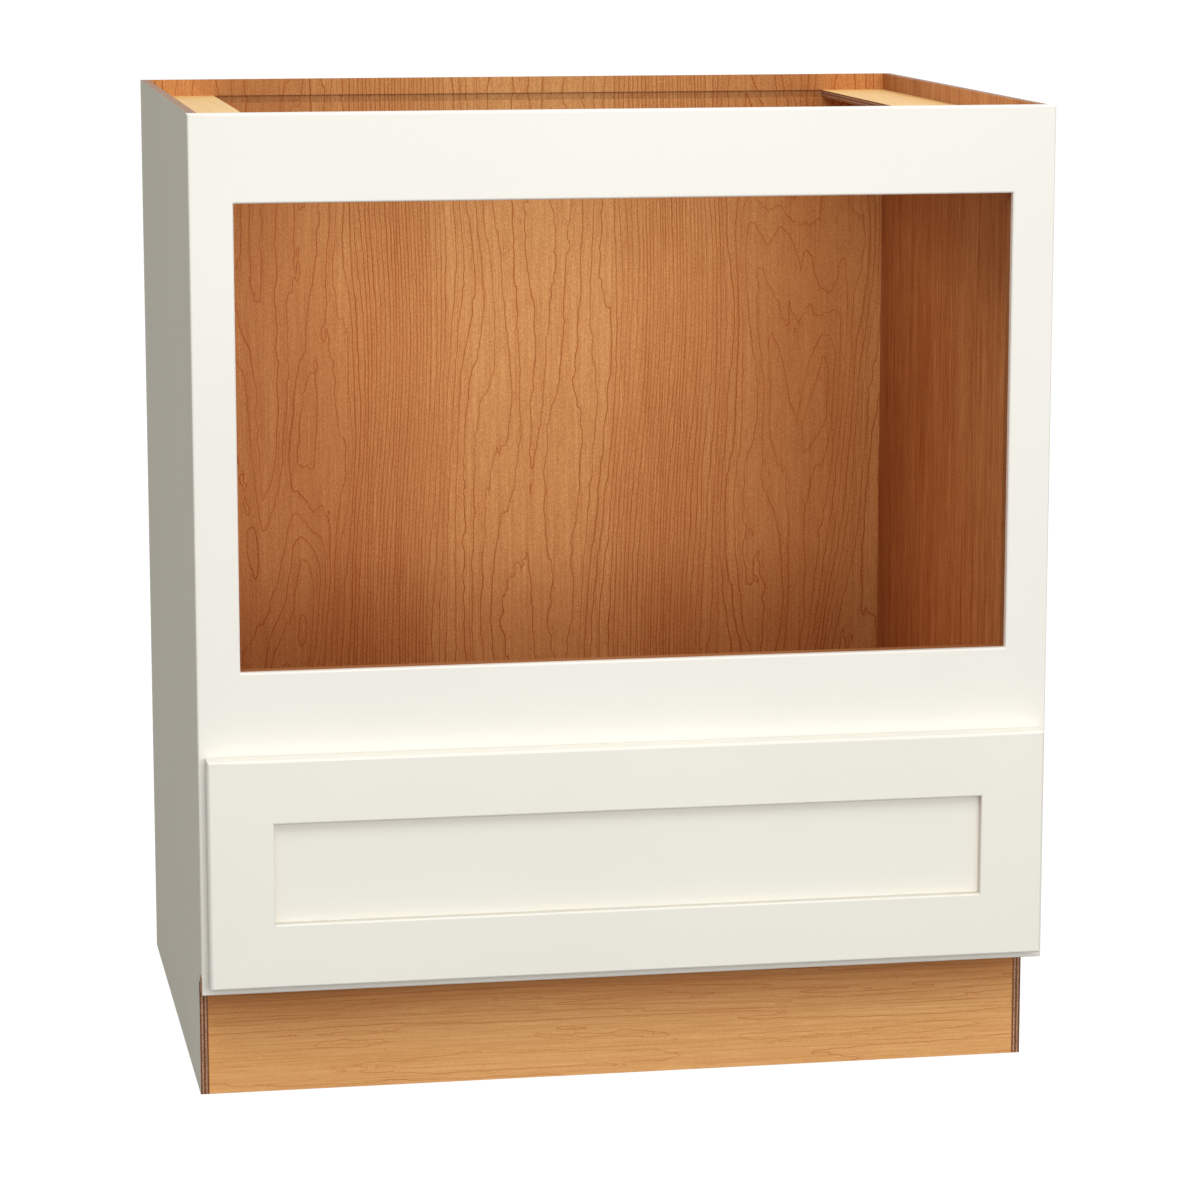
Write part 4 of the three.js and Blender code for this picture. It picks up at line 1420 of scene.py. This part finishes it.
class CABINET_OT_plywood_box(bpy.types.Operator):
    """Paint and veneer the side panels, back, floor and microwave deck"""

    bl_idname = "cabinet.plywood_box"
    bl_label = "Plywood box"

    def execute(self, context):
        scene = context.scene
        wood = scene.cabinet_wood
        arris = scene.cabinet_metal.arris
        side_material = side_panel_material(scene.cabinet_paint, wood)
        for side in SIDES:
            dress(f"side_panel_{side}", side_material, arris)
        dress("back_panel", back_panel_material(wood))
        for seed, name in enumerate(("cabinet_floor", "microwave_deck")):
            low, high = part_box(name)
            values = veneer_values(
                wood, Seed=3.0 + seed, Openness=0.8, Light=wood.deck_light, Dark=wood.deck_dark,
                Line_Colour=wood.deck_line, Line_Strength=0.7,
            )
            material = board_material(
                f"{name} plywood", wood, "z", low.z, high.z, "flat, grain left to right",
                values, plies=7.0,
            )
            dress(name, material, arris)
        return {"FINISHED"}


class CABINET_OT_top_strips(bpy.types.Operator):
    """Finish the pale strips along both sides of the open top"""

    bl_idname = "cabinet.top_strips"
    bl_label = "Top strips"

    def execute(self, context):
        scene = context.scene
        wood = scene.cabinet_wood
        low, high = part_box("top_strip_left")
        values = veneer_values(
            wood, Light=wood.maple_light, Dark=wood.maple_dark, Seed=5.2, Openness=0.0,
            Rings=60.0, Wander=4.0, Line_Colour=wood.maple_line, Line_Strength=0.35,
            Shade=0.12, Fibre=0.22, Speckle=0.4,
        )
        material = board_material(
            "Top strip maple", wood, "z", low.z, high.z, "flat, grain front to back", values
        )
        for side in SIDES:
            dress(f"top_strip_{side}", material, scene.cabinet_metal.arris)
        return {"FINISHED"}


# How far below the frame's foot the toe board starts to darken upwards: a painted shadow of the
# frame and drawer front above it.
TOE_SHADE_START = 58 * MM


class CABINET_OT_toe_board(bpy.types.Operator):
    """Finish the bare wood board at the back of the toe space"""

    bl_idname = "cabinet.toe_board"
    bl_label = "Toe board"

    def execute(self, context):
        scene = context.scene
        wood = scene.cabinet_wood
        low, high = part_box("toe_board")
        values = veneer_values(
            wood, Light=wood.toe_light, Dark=wood.toe_dark, Seed=7.7, Openness=0.75,
            Rings=150.0, Wander=9.0, Jogs=0.5, Arches=9.0, Line_Colour=wood.toe_line,
            Line_Strength=0.8, Line_Width=0.9 * MM, Shade=0.1, Fibre=0.7, Speckle=0.4,
        )
        material = board_material(
            "Toe board wood", wood, "y", low.y, high.y, "upright, grain left to right", values,
            shade_above=FRAME_LOW.z - TOE_SHADE_START, fineness=1.9,
        )
        dress("toe_board", material, scene.cabinet_metal.arris)
        return {"FINISHED"}


# How much painted shade the sides of the drawer front's recess get.
RECESS_SHADE = 0.8


class CABINET_OT_drawer_front(bpy.types.Operator):
    """Round over the drawer front and paint it"""

    bl_idname = "cabinet.drawer_front"
    bl_label = "Drawer front"

    def execute(self, context):
        paint = context.scene.cabinet_paint
        material = painted_material(paint, "Satin paint, stiles and rails", RECESS_SHADE)
        for name in FRONT_MEMBERS:
            eased_piece(name, material, paint.front_easing, "drawer")
        dress("drawer_front_panel", painted_material(paint))
        return {"FINISHED"}


class CABINET_OT_drawer_box(bpy.types.Operator):
    """Finish the drawer box"""

    bl_idname = "cabinet.drawer_box"
    bl_label = "Drawer box"

    def execute(self, context):
        scene = context.scene
        wood = scene.cabinet_wood

        def boards(place, direction, seed):
            values = veneer_values(
                wood, Light=wood.drawer_light, Dark=wood.drawer_dark, Seed=seed, Openness=0.0,
                Rings=110.0, Wander=4.0, Line_Colour=wood.drawer_line, Line_Strength=0.4,
                Shade=0.15, Fibre=0.25, Speckle=0.4,
            )
            return solid_wood_material(f"Drawer maple, {place}", direction, values)

        along = boards("side boards", "upright, grain front to back", 9.0)
        across = boards("cross boards", "upright, grain left to right", 11.0)
        bottom = boards("bottom board", "flat, grain left to right", 13.0)
        end_grain = end_grain_material(wood)
        for side in SIDES:
            dovetailed_side(side, (along, end_grain, across))
        for name in ("drawer_box_front", "drawer_back"):
            rounded_board(name, across)
        dress("drawer_bottom", bottom)
        return {"FINISHED"}


# How far a rail's screws are from its front end and its low edge, and how thick its flange is.
RAIL_SCREW_IN = 9 * MM
RAIL_SCREWS_UP = (("low", 15 * MM), ("high", 28 * MM))
RAIL_FLANGE = 1.5 * MM
RAIL_SCREW_LENGTH = 14.0
# How far a bracket's screws are from its outer and its low edge, and how thick its plate is.
BRACKET_SCREW_IN = 8 * MM
BRACKET_SCREWS_UP = (("low", 9 * MM), ("high", 23 * MM))
BRACKET_PLATE = 3 * MM
BRACKET_SCREW_LENGTH = 7.0


class CABINET_OT_slides(bpy.types.Operator):
    """Finish the hidden slides and their rear brackets"""

    bl_idname = "cabinet.slides"
    bl_label = "Slides"

    def execute(self, context):
        metal = context.scene.cabinet_metal
        zinc = metal_material("Zinc-plated steel", metal.zinc, 0.34)
        nylon = plastic_material("Bracket nylon", metal.nylon, 0.55)
        steel = metal_material("Rail screw steel", metal.zinc, 0.28)
        for side, way in (("left", -1), ("right", 1)):
            for part in ("rail", "carriage", "runner"):
                dress(f"slide_{part}_{side}", zinc, 0.3 * MM)
            dress(f"slide_bracket_{side}", nylon, 0.4 * MM)
            self.add_screws(side, way, steel)
        return {"FINISHED"}

    def add_screws(self, side, way, steel):
        """Screws through the rail's flange into the stile, and the bracket into the back."""
        low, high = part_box(f"slide_rail_{side}")
        flange_x = (high.x if way > 0 else low.x) - way * RAIL_FLANGE
        for place, up in RAIL_SCREWS_UP:
            pan_screw(
                f"slide_rail_screw_{side}_{place}", steel,
                (flange_x, low.y + RAIL_SCREW_IN, low.z + up), (-way, 0, 0),
                RAIL_SCREW_LENGTH, "cabinet",
            )
        low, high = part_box(f"slide_bracket_{side}")
        plate_x = (high.x if way > 0 else low.x) - way * BRACKET_SCREW_IN
        for place, up in BRACKET_SCREWS_UP:
            pan_screw(
                f"slide_bracket_screw_{side}_{place}", steel,
                (plate_x, high.y - BRACKET_PLATE, low.z + up), (0, -1, 0),
                BRACKET_SCREW_LENGTH, "cabinet",
            )


FRONT_SCREW_LENGTH = 19.0


class CABINET_OT_fittings(bpy.types.Operator):
    """Finish the clips, release levers, screws and bumpers"""

    bl_idname = "cabinet.fittings"
    bl_label = "Drawer fittings"

    def execute(self, context):
        metal = context.scene.cabinet_metal
        nylon = plastic_material("Clip nylon", metal.nylon, 0.5)
        orange = plastic_material("Lever nylon", metal.lever, 0.42)
        rubber = plastic_material("Bumper rubber", metal.rubber, 0.25)
        steel = metal_material("Screw steel", metal.zinc, 0.28)
        for side in SIDES:
            dress(f"drawer_clip_{side}", nylon, 0.6 * MM)
            ridged_lever(side, orange)
            domed_bumper(side, rubber)
            for place in ("low", "high"):
                name = f"drawer_front_screw_{side}_{place}"
                low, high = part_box(name)
                spot = ((low.x + high.x) / 2, BOX_FRONT_HIGH.y, (low.z + high.z) / 2)
                pan_screw(
                    f"{name}_head", steel, spot, (0, 1, 0), FRONT_SCREW_LENGTH, "drawer",
                    (name,),
                )
        return {"FINISHED"}


MAKING_ORDER = (
    CABINET_OT_stage,
    CABINET_OT_face_frame,
    CABINET_OT_plywood_box,
    CABINET_OT_top_strips,
    CABINET_OT_toe_board,
    CABINET_OT_drawer_front,
    CABINET_OT_drawer_box,
    CABINET_OT_slides,
    CABINET_OT_fittings,
)


class CABINET_PT_cabinet(bpy.types.Panel):
    """Lists the cabinet's settings and the steps that make it"""

    bl_idname = "CABINET_PT_cabinet"
    bl_label = "Microwave base cabinet"
    bl_space_type = "VIEW_3D"
    bl_region_type = "UI"
    bl_category = "Cabinet"

    def draw(self, context):
        for step in MAKING_ORDER:
            self.layout.operator(step.bl_idname)
        for name, settings in SETTINGS.items():
            box = self.layout.box()
            for key in settings.__annotations__:
                box.prop(getattr(context.scene, name), key)


SETTINGS = {
    "cabinet_paint": CabinetPaintSettings,
    "cabinet_wood": CabinetWoodSettings,
    "cabinet_metal": CabinetMetalSettings,
    "cabinet_stage": CabinetStageSettings,
}
CLASSES = (*SETTINGS.values(), *MAKING_ORDER, CABINET_PT_cabinet)


def register():
    for cls in CLASSES:
        bpy.utils.register_class(cls)
    for name, settings in SETTINGS.items():
        setattr(bpy.types.Scene, name, PointerProperty(type=settings))


def unregister():
    for name in SETTINGS:
        delattr(bpy.types.Scene, name)
    for cls in reversed(CLASSES):
        bpy.utils.unregister_class(cls)


def main():
    register()
    for step in MAKING_ORDER:
        area, name = step.bl_idname.split(".")
        getattr(getattr(bpy.ops, area), name)()


if __name__ == "__main__":
    main()
